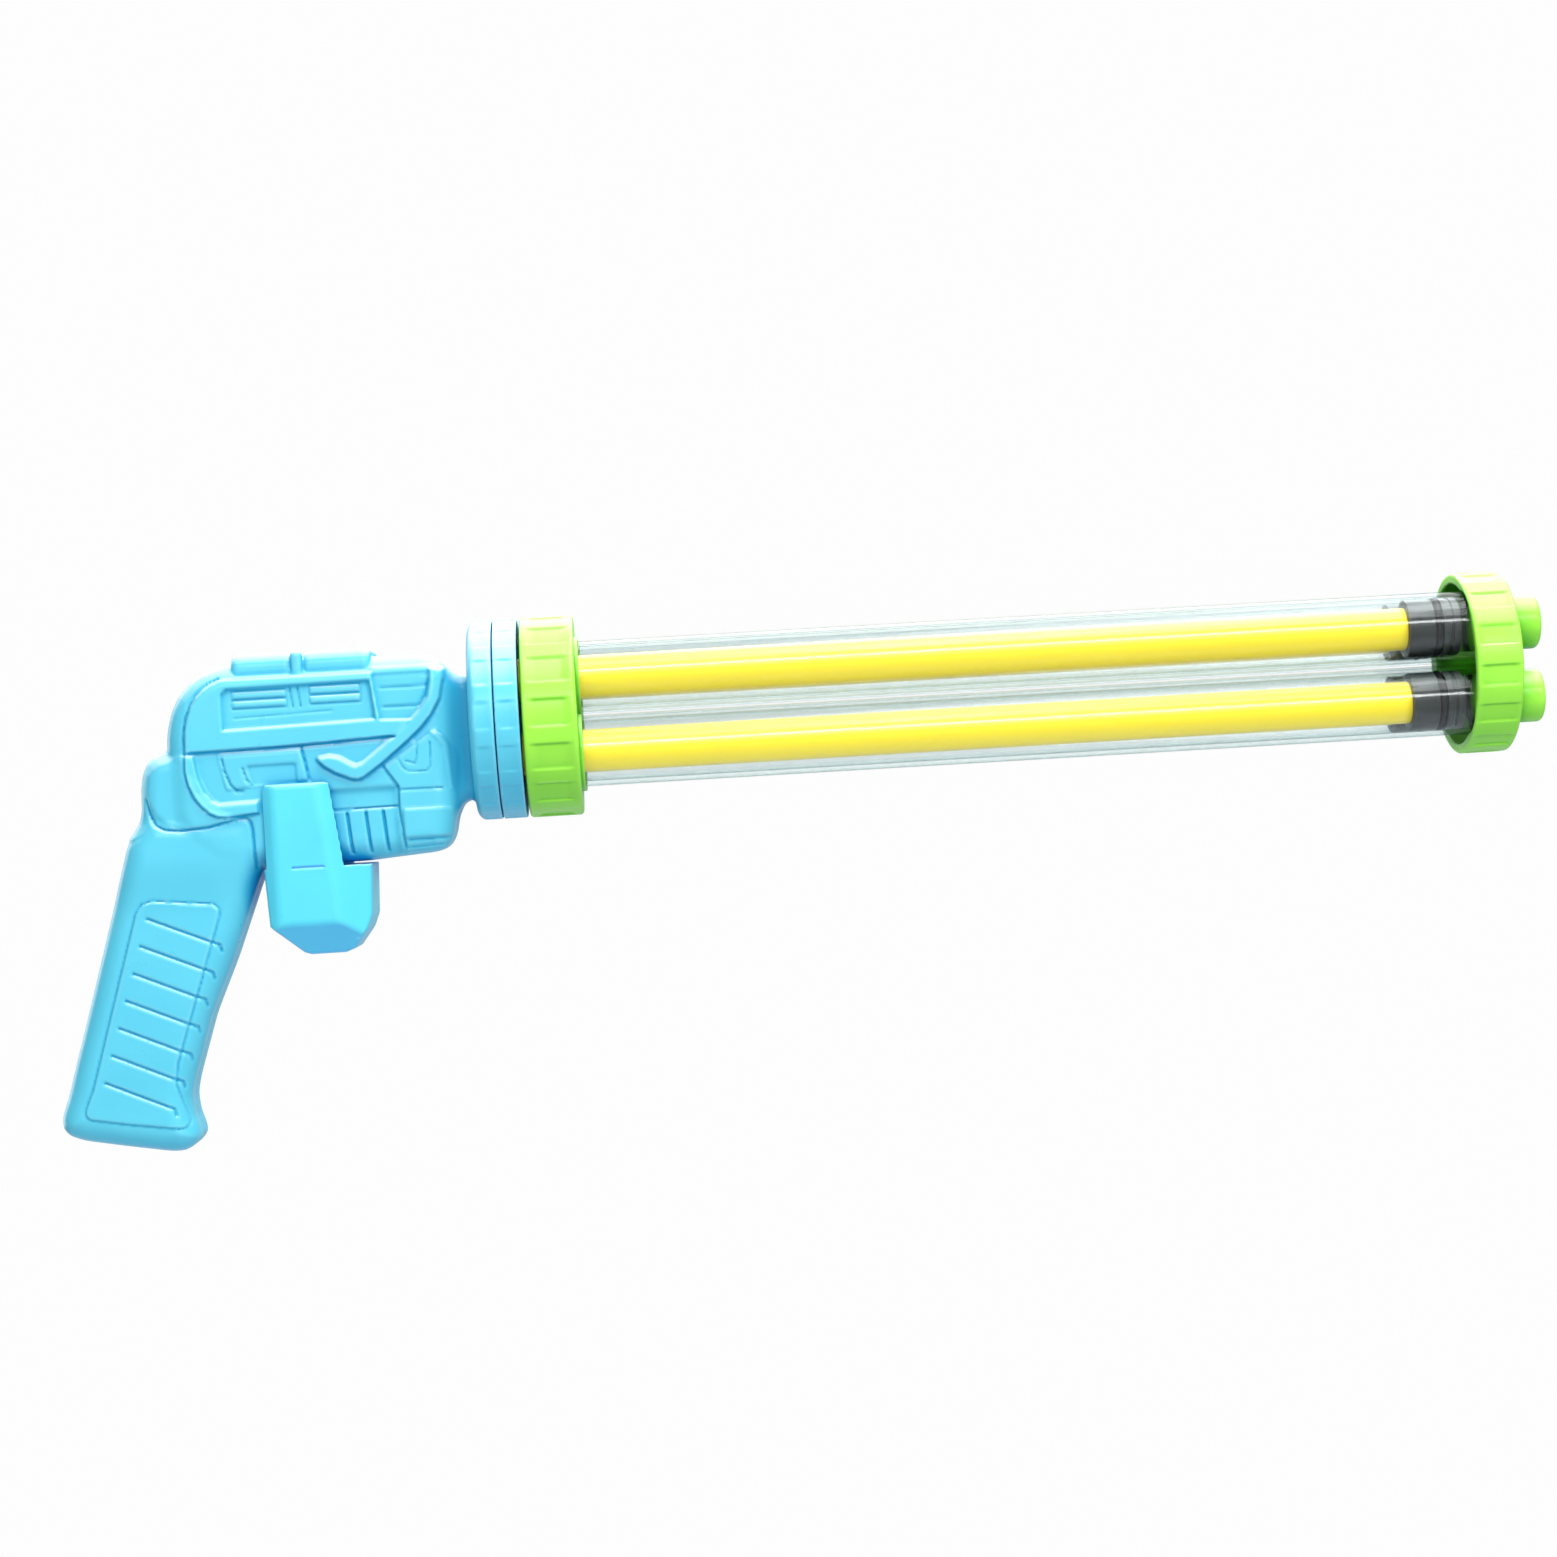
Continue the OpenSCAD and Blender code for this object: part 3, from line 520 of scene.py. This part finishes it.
def plate_field(x, y, z):
    plate = gripped_rim(x, y, z, PLATE_BACK, PLATE_FRONT, DISC_R, DISC_PANELS, 0.4)
    parting = meet(DISC_R - PARTING_DEPTH - np.hypot(y, z), x - PLATE_BACK - PARTING_W, 0.1)
    plate = np.maximum(plate, -parting)
    holes = at_tubes(lambda p: np.hypot(y - p[0], z - p[1]) - ROD_SEAT_R)
    across = np.abs(y) - PLATE_SCREW_CIRCLE_R * math.sin(PLATE_SCREW_TURN)
    above = np.abs(z) - PLATE_SCREW_CIRCLE_R * math.cos(PLATE_SCREW_TURN)
    seats = meet(np.hypot(across, above) - SCREW_SEAT_R, PLATE_FRONT - SCREW_HEAD_H - x, 0.1)
    return np.maximum(plate, -np.minimum(holes, seats))


# The second colour is mixed in as random tone and painted shade, the third as painted highlight and
# edge wear.
blue_plastic = moulded(
    "blue_plastic", paint("#54b9cf"), paint("#10aade", 0.68), paint("#d0f4fb", 0.95), 0.3
)
rod_plate = mould(
    "rod_plate_moulding", plate_field, (PLATE_BACK, -RING_GRID, -RING_GRID),
    (PLATE_FRONT, RING_GRID, RING_GRID), MESH_STEP,
)
rod_plate.data.materials.append(blue_plastic)
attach(rod_plate, "plunger")
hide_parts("rod_plate")

# Plunger rods
# Four yellow extruded tubes, each with a flange at its back end that the rod plate holds. They
# show fine drawing lines along their length and slide through the guides.
ROD_BORE_R, ROD_FLANGE_R, ROD_FLANGE_T, PISTON_BACK = 4.7, 8.0, 2.0, -31.5
yellow = Finish(bpy.data.materials.new("yellow_plastic"))
yellow_place = yellow.node("TexCoord", output="Object")
draw_lines = yellow.noise(yellow_place, 1300.0, 3.0, (0.012, 1, 1))
batch = yellow.noise(yellow_place, 26.0, 3.0)
yellow_bump = yellow.node("Bump", {}, {"Strength": 0.06, "Distance": 0.00005, "Height": draw_lines})
yellow_plastic = yellow.surface({
    "Base Color": yellow.mix(
        batch * 0.5 + draw_lines * 0.3, paint("#fce81c", 0.92), paint("#f8dc10", 0.9)
    ),
    "Roughness": 0.25 + draw_lines * 0.1,
    "Normal": yellow_bump,
})
rod_line = eased([
    (PLATE_BACK, ROD_BORE_R), (PLATE_BACK, ROD_FLANGE_R), (PLATE_BACK + ROD_FLANGE_T, ROD_FLANGE_R),
    (PLATE_BACK + ROD_FLANGE_T, ROD_R), (PISTON_BACK, ROD_R), (PISTON_BACK, ROD_BORE_R),
], 0.25)
for side, place in TUBE_PLACES.items():
    rod = turned(f"yellow_rod_{side}", rod_line, place)
    rod.data.materials.append(yellow_plastic)
    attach(rod, "plunger")
    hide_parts(f"plunger_rod_{side}")

# Pistons
# Dark grey moulded plugs on the front ends of the rods, with a deep groove for the ring seal, a
# shallow one nearer the front, a shank that fits inside the rod, and a fine core hole.
PISTON_FRONT, PISTON_R, SHANK_R, SHANK_LEN, CORE_R = -16.0, 8.7, 4.65, 10.0, 0.6
SEAL_X, SEAL_GROOVE_R, SEAL_GROOVE_W = -22.51, 6.8, 2.4
WIPER_X, WIPER_W, WIPER_DEPTH = -19.2, 1.0, 0.5
# The second colour is mixed in as random tone and painted shade, the third as painted highlight and
# edge wear.
piston_plastic = moulded(
    "piston_plastic", (0.06, 0.075, 0.07, 1), (0.012, 0.015, 0.014, 1), (0.13, 0.15, 0.145, 1), 0.28
)
piston_line = eased([
    (PISTON_BACK - SHANK_LEN, CORE_R), (PISTON_BACK - SHANK_LEN, SHANK_R), (PISTON_BACK, SHANK_R),
    (PISTON_BACK, PISTON_R),
    (SEAL_X - SEAL_GROOVE_W / 2, PISTON_R), (SEAL_X - SEAL_GROOVE_W / 2, SEAL_GROOVE_R),
    (SEAL_X + SEAL_GROOVE_W / 2, SEAL_GROOVE_R), (SEAL_X + SEAL_GROOVE_W / 2, PISTON_R),
    (WIPER_X, PISTON_R), (WIPER_X, PISTON_R - WIPER_DEPTH),
    (WIPER_X + WIPER_W, PISTON_R - WIPER_DEPTH), (WIPER_X + WIPER_W, PISTON_R),
    (PISTON_FRONT, PISTON_R), (PISTON_FRONT, CORE_R),
], 0.3)
for side, place in TUBE_PLACES.items():
    piston = turned(f"dark_piston_{side}", piston_line, place)
    piston.data.materials.append(piston_plastic)
    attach(piston, "plunger")
    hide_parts(f"piston_{side}")

# Piston seals
# Round-section rubber rings that sit in the pistons' deep grooves and wipe the tube bores.
dress("piston_seals", seal_rubber)

# Grip shells
# Two sky blue mouldings, mirror halves that meet on the middle plane and are screwed together from
# the left. Each has half of the rear disc as its flange, and soft raised and sunk ornament.
FLANGE_BACK = -311.6
RECEIVER_HALF, HANDLE_HALF, HUMP_HALF, NECK_HALF = 15.8, 14.0, 14.4, 11.4
RAIL_HALF, RAIL_FOOT, RAIL_TOP, KNOB_HALF, KNOB_FOOT = 15.0, 17.7, 23.3, 15.7, 14.6
FLANGE_EASE, SHELL_GAP, GRIP_STEP = 3.2, 0.04, 0.57
LATTICE, ORNAMENT_DEPTH, CORNER_CUT = 0.25, 1.35, 2.5
receiver_side = eased([
    (-316.6, -26), (-317, 8), (-317.6, 14.5), (-319.7, 17.8), (-323.6, 20.6), (-340, 20.6),
    (-384, 20.6), (-389.5, 18.8), (-393.6, 15.9), (-397.4, 11.9), (-399.9, 7), (-401.3, 1),
    (-401.6, -4), (-401.6, -24), (-398, -32), (-388, -40), (-343.8, -39.7), (-333, -38.9),
    (-323, -38.2), (-320.4, -36.6), (-318.8, -33.8), (-317.7, -28.5),
], CORNER_CUT)
hump_side = eased([
    (-376, -4.2), (-401.7, -3.9), (-405, -4.9), (-407.6, -7), (-409.2, -10.2), (-410, -15),
    (-410.1, -21), (-410.9, -24.6), (-412.6, -27.6), (-414.6, -30.2), (-404, -32), (-376, -32),
], CORNER_CUT)
handle_side = eased([
    (-376, -24), (-408, -22), (-410.6, -25), (-413.4, -28.6), (-415, -31.5), (-418.4, -43),
    (-430, -82), (-434, -95), (-436.4, -103.4), (-438, -107.6), (-438.9, -110.6), (-438.7, -113.4),
    (-436.9, -115.7), (-432.6, -117.4), (-420.7, -119.7), (-407.2, -122.1), (-403.3, -122.1),
    (-400.4, -120.6), (-398.4, -118.1), (-398.8, -115.2), (-400.1, -111.4), (-400.6, -106.4),
    (-399.6, -101.6), (-393.4, -82.6), (-386, -66.2), (-379.6, -50), (-377.4, -44), (-374, -38),
], CORNER_CUT)
neck_side = [(-304.8, -23.5), (-304.8, 13.6), (-322, 13.6), (-322, -23.5)]


def outline_distance(points, x, z):
    """Distance from a closed outline of (x, z) points, negative inside it."""
    nearest = np.full(np.broadcast(x, z).shape, np.inf)
    inside = np.zeros(nearest.shape, bool)
    for (ax, az), (bx, bz) in zip(points, points[1:] + points[:1]):
        ex, ez = bx - ax, bz - az
        along = np.clip(((x - ax) * ex + (z - az) * ez) / (ex * ex + ez * ez), 0, 1)
        nearest = np.minimum(nearest, (x - ax - along * ex) ** 2 + (z - az - along * ez) ** 2)
        inside ^= ((az > z) != (bz > z)) & (x < ax + (z - az) / (ez or 1e-9) * ex)
    return np.where(inside, -1, 1) * np.sqrt(nearest)


def line_distance(points, x, z):
    """Distance from an open line of (x, z) points."""
    nearest = np.inf
    for (ax, az), (bx, bz) in zip(points, points[1:]):
        ex, ez = bx - ax, bz - az
        along = np.clip(((x - ax) * ex + (z - az) * ez) / (ex * ex + ez * ez), 0, 1)
        nearest = np.minimum(nearest, (x - ax - along * ex) ** 2 + (z - az - along * ez) ** 2)
    return np.sqrt(nearest)


lattice_x = np.arange(-442, -312, LATTICE)
lattice_z = np.arange(-124, 26, LATTICE)
ornament = np.zeros((len(lattice_x), len(lattice_z)))


def patch(points, margin):
    """The part of the ornament's lattice around these points."""
    xs, zs = zip(*points)
    i = slice(*np.searchsorted(lattice_x, (min(xs) - margin, max(xs) + margin)))
    k = slice(*np.searchsorted(lattice_z, (min(zs) - margin, max(zs) + margin)))
    return i, k, lattice_x[i, None], lattice_z[None, k]


def raise_panel(points, height, edge=0.8):
    i, k, x, z = patch(points, edge)
    ornament[i, k] += ORNAMENT_DEPTH * height * fade(outline_distance(points, x, z), edge)


def cut_line(points, width, depth):
    i, k, x, z = patch(points, width)
    beside = line_distance(points, x, z) - width / 4
    ornament[i, k] -= ORNAMENT_DEPTH * depth * fade(beside, width / 2)


def box(x0, z0, x1, z1):
    return [(x0, z0), (x1, z0), (x1, z1), (x0, z1)]


# Upper panel with its sunk window, and the lines around it
rim_line = [
    (-395.8, -5.4), (-395.5, 1.2), (-394.8, 4.8), (-393.4, 8.6), (-391.6, 11.4), (-389.4, 13.5),
    (-387.2, 15), (-384.6, 16),
]
raise_panel(rim_line + [
    (-340, 15.9), (-338, 1.6), (-329, 1.2), (-334.2, -3.3), (-362.6, -4.4),
], 0.9)
cut_line(rim_line, 1.5, 0.7)
cut_line([(-395.4, -5.2), (-362.6, -4.8), (-334.2, -3.6)], 1.5, 0.7)
raise_panel([(-384, 1), (-339.4, 1.9), (-340.6, 13.4), (-382.6, 13), (-384, 11.6)], -0.85, 1.1)
for x0, x1, z0, z1 in ((-381.1, -364.9, 6.9, 12.4), (-358.5, -343.2, 7.1, 12.9)):
    raise_panel(box(x0, z0, x1, z1), -0.3, 0.6)
    middle = (z0 + z1) / 2
    raise_panel(box(x0 + 0.3, middle + 0.4, x1 - 0.3, z1 - 0.5), 0.55, 0.7)
    raise_panel(box(x0 + 0.3, z0 + 0.5, x1 - 0.3, middle - 0.4), 0.55, 0.7)
for x in (-363.7, -361.4):
    cut_line([(x - 0.3, 12.6), (x + 0.3, 7)], 0.9, 0.5)
cut_line([(-380.6, 4.4), (-352, 5.2)], 0.9, 0.2)
cut_line([(-337.5, 10.9), (-324, 11.2)], 0.9, 0.4)
cut_line([(-336.9, 5.3), (-326.4, 5.4), (-324.6, 8.4), (-323.4, 12.6)], 0.9, 0.45)
raise_panel(box(-340, 15.2, -321.5, 17.2), 0.4, 1.2)

# The hooked ridge in front and the curved band behind
ridge_outer = [
    (-318.6, 16), (-319, 12), (-319.9, 7), (-322.8, 2), (-326, -1.6), (-329.7, -4.9),
    (-337.6, -11.2), (-343.4, -15.2), (-345.4, -15.9), (-347.4, -15.6), (-352.2, -13.5),
    (-355.4, -11.4), (-357.3, -9.4),
]
ridge_inner = [
    (-356.4, -8.4), (-353.4, -8), (-350.5, -8.7), (-347.8, -10.4), (-345.9, -11.4), (-343.8, -10.6),
    (-338, -6.2), (-330.1, 0.2), (-326.4, 4), (-324, 7.6), (-323, 12), (-322.8, 16),
]
raise_panel(ridge_outer + ridge_inner, 1.3, 1.8)
cut_line(ridge_outer[1:], 1.5, 0.8)
band_outer = [
    (-395.8, -5.6), (-396, -10.5), (-395.2, -14.6), (-393.6, -18.4), (-391.8, -21), (-389.6, -23.2),
    (-387, -24.5), (-384, -24.8), (-375, -24),
]
band_inner = [
    (-375, -20.2), (-386, -20.5), (-388.4, -19.4), (-390.2, -16.8), (-391.9, -12.6), (-393, -5.8),
]
raise_panel(band_outer + band_inner, 1.0, 1.8)
cut_line(band_outer, 1.3, 0.7)
cut_line(band_inner[1:], 0.8, 0.25)

# The lower tier behind the ridge
raise_panel([(-386, -6.4), (-361.8, -5.8), (-359.8, -14.7), (-384, -16.4)], 0.35, 1.0)
cut_line([(-361.6, -5), (-360.6, -10), (-359.8, -14.9)], 1.1, 0.6)
cut_line([(-385, -7), (-384.3, -11), (-382.8, -15), (-381, -17), (-379.4, -17)], 1.0, 0.55)
cut_line([(-379, -10.4), (-378, -13.6), (-376.6, -15.6)], 1.0, 0.45)
raise_panel([(-377.8, -9.7), (-363.4, -9.6), (-363.2, -15.4), (-376.4, -15.6)], -0.4, 0.8)

# The channel, the vents and the front block
raise_panel(box(-358, -44, -334.4, -18.4), -0.8, 2.4)
cut_line([(-358, -24.3), (-334.4, -24)], 1.1, 0.55)
for x in (-349.4, -343.9, -338.8):
    cut_line([(x, -25.4), (x + 1, -37)], 1.3, 0.9)
raise_panel(
    [
        (-338, -12.6), (-333.9, -18.4), (-334, -24.5), (-332.5, -38), (-318, -38), (-316, -10),
        (-322, -2),
    ], 0.5, 1.2,
)
cut_line([(-338, -12.2), (-333.9, -18.3), (-334, -24.5), (-332.6, -36.2)], 1.2, 0.7)
cut_line([(-333.4, -19.3), (-320.6, -19.4)], 1.0, 0.5)
raise_panel(box(-332.6, -33.4, -318, -25), 0.45, 1.0)
cut_line([(-331.4, -34.3), (-319.6, -33.9)], 0.9, 0.5)
cut_line([(-331.6, -36.4), (-319.8, -35.8)], 0.9, 0.4)
cut_line([
    (-333.4, -10.4), (-332.2, -12.8), (-330.6, -14), (-325, -14.2), (-324, -12.6), (-323.9, -5.8),
], 0.8, 0.4)
cut_line([(-327.7, -6.2), (-328, -9.8), (-328.6, -11.8), (-331.2, -10.9)], 0.8, 0.4)
raise_panel([
    (-324, -2.4), (-320, -3.6), (-318.4, -6.4), (-317.4, -20), (-318.6, -20), (-320, -7),
], 0.3)

# The hump behind the band, and the line under it
raise_panel([
    (-404, -7), (-407.4, -11), (-408, -18), (-405.4, -22.6), (-402.2, -26), (-396.2, -27.4),
    (-389.2, -26.8), (-381, -25.2), (-386.6, -23.2), (-389.8, -21.6), (-393, -17), (-394.8, -11),
    (-394.8, -5),
], 0.6, 2.6)
cut_line([
    (-407.9, -17.9), (-407, -22.4), (-405.4, -25.7), (-402.9, -27.2), (-398.7, -27.7),
    (-390, -27.2), (-383.8, -25.8), (-380.8, -25.1), (-378.8, -25), (-377.6, -26.2),
    (-377.1, -28.6), (-376.8, -40),
], 1.3, 0.7)

# The handle's panel, with slanting bars
panel_line = [
    (-401, -113.8), (-402.2, -115), (-404, -115.1), (-418, -113), (-429.6, -110.9),
    (-430.9, -109.6), (-430.8, -107.8), (-428.3, -101.9), (-413, -51), (-411, -48.6),
    (-408, -47.8), (-390, -49.6), (-388.4, -51.2), (-388.6, -53.6), (-403.2, -96), (-404, -102),
    (-402.4, -108), (-400.9, -112.4),
]
raise_panel(panel_line, 0.35, 0.8)
cut_line(panel_line + panel_line[:1], 0.9, 0.45)
BAR_COUNT, BAR_PITCH, BAR_LEAN = 7, 7.9, 2.5
for rise in range(BAR_COUNT):
    lift, lean = BAR_PITCH * rise, BAR_LEAN * rise
    left, right = (-424.6 + lean, -100.3 + lift), (-404.9 + 1.06 * lean, -109.2 + lift)
    cut_line([left, right, (right[0] + 0.4, right[1] - 1.8)], 1.3, 0.6)


def ornament_height(x, z):
    """The ornament's height at any place, read between the lattice's points."""
    i = np.clip((x - lattice_x[0]) / LATTICE, 0, len(lattice_x) - 1.001)
    k = np.clip((z - lattice_z[0]) / LATTICE, 0, len(lattice_z) - 1.001)
    i0, k0 = i.astype(int), k.astype(int)
    i, k = i - i0, k - k0
    low = ornament[i0, k0] * (1 - i) + ornament[i0 + 1, k0] * i
    high = ornament[i0, k0 + 1] * (1 - i) + ornament[i0 + 1, k0 + 1] * i
    return low * (1 - k) + high * k


def grip_field(x, y, z):
    """The whole grip, alike on both sides of the middle plane, before it is split in halves."""
    w = np.abs(y)
    lift = ornament_height(x, z)
    receiver = meet(outline_distance(receiver_side, x, z), w - RECEIVER_HALF - lift, 7.0)
    hump = meet(outline_distance(hump_side, x, z), w - HUMP_HALF - lift, 6.0)
    swell = (RECEIVER_HALF - HANDLE_HALF) * fade(-44 - z, 18)
    handle = meet(outline_distance(handle_side, x, z), w - HANDLE_HALF - swell - lift, 7.5)
    neck = meet(outline_distance(neck_side, x, z), w - NECK_HALF, 4.0)
    flange = gripped_rim(x, y, z, FLANGE_BACK, PLATE_BACK, DISC_R, DISC_PANELS, 0.4)
    shoulder = np.hypot(
        np.maximum(FLANGE_BACK + FLANGE_EASE - x, 0), np.maximum(np.hypot(y, z) - DISC_R + 3.0, 0)
    )
    flange = np.maximum(flange, shoulder - FLANGE_EASE)
    ends = np.minimum(between(x, -381, -363), between(x, -360.2, -340))
    rails = np.maximum(meet(w - RAIL_HALF, z - RAIL_TOP, 4.2), RAIL_FOOT - z)
    rails = meet(ends, rails, 2.2)
    knob = meet(between(x, -363.4, -360), between(z, KNOB_FOOT, RAIL_TOP), 1.2)
    knob = meet(knob, w - KNOB_HALF, 1.4)
    grip = join(join(receiver, hump, 1.2), handle, 1.2)
    grip = join(join(grip, neck, 4.5), flange, 2.0)
    return join(grip, join(rails, knob, 0.8), 0.8)


def right_half_field(x, y, z):
    return meet(grip_field(x, y, z), y + SHELL_GAP, 0.25)


GRIP_SCREWS = [
    (-326.5, 11.2, 12.5), (-387.2, 6.2, 12.5), (-329.5, -30.1, 12.5), (-403.2, -54.3, 10.0),
    (-418.0, -103.0, 10.0),
]


def left_half_field(x, y, z):
    half = meet(grip_field(x, y, z), SHELL_GAP - y, 0.25)
    for screw_x, screw_z, seat in GRIP_SCREWS:
        hole = np.hypot(x - screw_x, z - screw_z) - SCREW_SEAT_R
        half = np.maximum(half, -np.maximum(hole, seat - y))
    return half


GRIP_LOW, GRIP_HIGH = (-439.4, -30, -122.6), (PLATE_BACK, 0, 30)
for side, field, low, high in (
    ("right", right_half_field, GRIP_LOW, GRIP_HIGH),
    ("left", left_half_field, (GRIP_LOW[0], 0, GRIP_LOW[2]), (GRIP_HIGH[0], 30, GRIP_HIGH[2])),
):
    shell = mould(f"grip_half_{side}", field, low, high, GRIP_STEP)
    shell.data.materials.append(blue_plastic)
    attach(shell, "plunger")
    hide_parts(f"grip_shell_{side}")

# Finger guard
# A brighter cyan moulding under the receiver, with two cheeks that clip up along its sides. Broad
# facets slope away to its front and underneath, and one screw holds it on the left.
GUARD_HALF, GUARD_SLOT, GUARD_TOP, GUARD_SEAT = 19.1, 16.7, -40.5, 17.3
GUARD_SCREW_X, GUARD_SCREW_Z = -364.1, -28.0
guard_side = [
    (-343.1, GUARD_TOP), (-374.6, GUARD_TOP), (-373.6, -57.3), (-370, -60.6), (-364.6, -65.6),
    (-362.6, -66.3), (-352.4, -66.3), (-349.4, -65.2), (-345.4, -59.6), (-343.8, -55.6),
]
cheek_side = [
    (-345.2, -45), (-346, -40), (-348.4, -30), (-352, -17.4), (-354.2, -15.6), (-372.8, -15.6),
    (-374.6, -17.2), (-374.6, GUARD_TOP), (-374.3, -45),
]


def guard_field(x, y, z):
    beyond = np.abs(y) - GUARD_HALF
    front_facet = (x + 360 + 0.127 * z) * 0.505 + beyond * 0.863
    low_facet = (-57 - z) * 0.66 + beyond * 0.75
    back_facet = (-370.6 - x) * 0.6 + beyond * 0.8
    facets = meet(front_facet, back_facet, 0.8)
    block = meet(outline_distance(guard_side, x, z), beyond, 1.4)
    block = meet(block, meet(facets, low_facet, 0.8), 0.8)
    cheek = meet(outline_distance(cheek_side, x, z), beyond, 1.6)
    guard = np.minimum(block, meet(cheek, facets, 0.8))
    slot = meet(np.abs(y) - GUARD_SLOT, GUARD_TOP - z, 0.4)
    scored = np.maximum(np.hypot(z + 40.4, beyond) - 0.35, between(x, -366, -356.5))
    screw = np.hypot(x - GUARD_SCREW_X, z - GUARD_SCREW_Z) - SCREW_SEAT_R
    screw = np.maximum(screw, GUARD_SEAT - y)
    return np.maximum(guard, -np.minimum(np.minimum(slot, scored), screw))


# The second colour is mixed in as random tone and painted shade, the third as painted highlight and
# edge wear.
cyan_plastic = moulded(
    "cyan_plastic", paint("#50c6d6"), paint("#3d8cf2", 0.8), paint("#b8faff", 0.9), 0.3
)
finger_guard = mould(
    "finger_guard_moulding", guard_field, (-374.7, -19.2, -66.4), (-343, 19.2, -15.4), MESH_STEP
)
finger_guard.data.materials.append(cyan_plastic)
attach(finger_guard, "plunger")
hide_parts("finger_guard")

# Screws
# Zinc-plated cross-head screws: five through the grip's left half, four through the rod plate and
# one through the guard's left cheek.
steel = Finish(bpy.data.materials.new("screw_steel"))
steel_place = steel.node("TexCoord", output="Object")
plating = steel.noise(steel_place, 700.0, 3.0)
steel_bump = steel.node("Bump", {}, {"Strength": 0.2, "Distance": 0.00004, "Height": plating})
screw_steel = steel.surface({
    "Base Color": steel.mix(plating, (0.5, 0.51, 0.52, 1), (0.66, 0.66, 0.66, 1)),
    "Metallic": 1.0,
    "Roughness": 0.25 + plating * 0.2,
    "Normal": steel_bump,
})
for screws in ("grip_screws", "plate_screws", "guard_screw"):
    dress(screws, screw_steel)
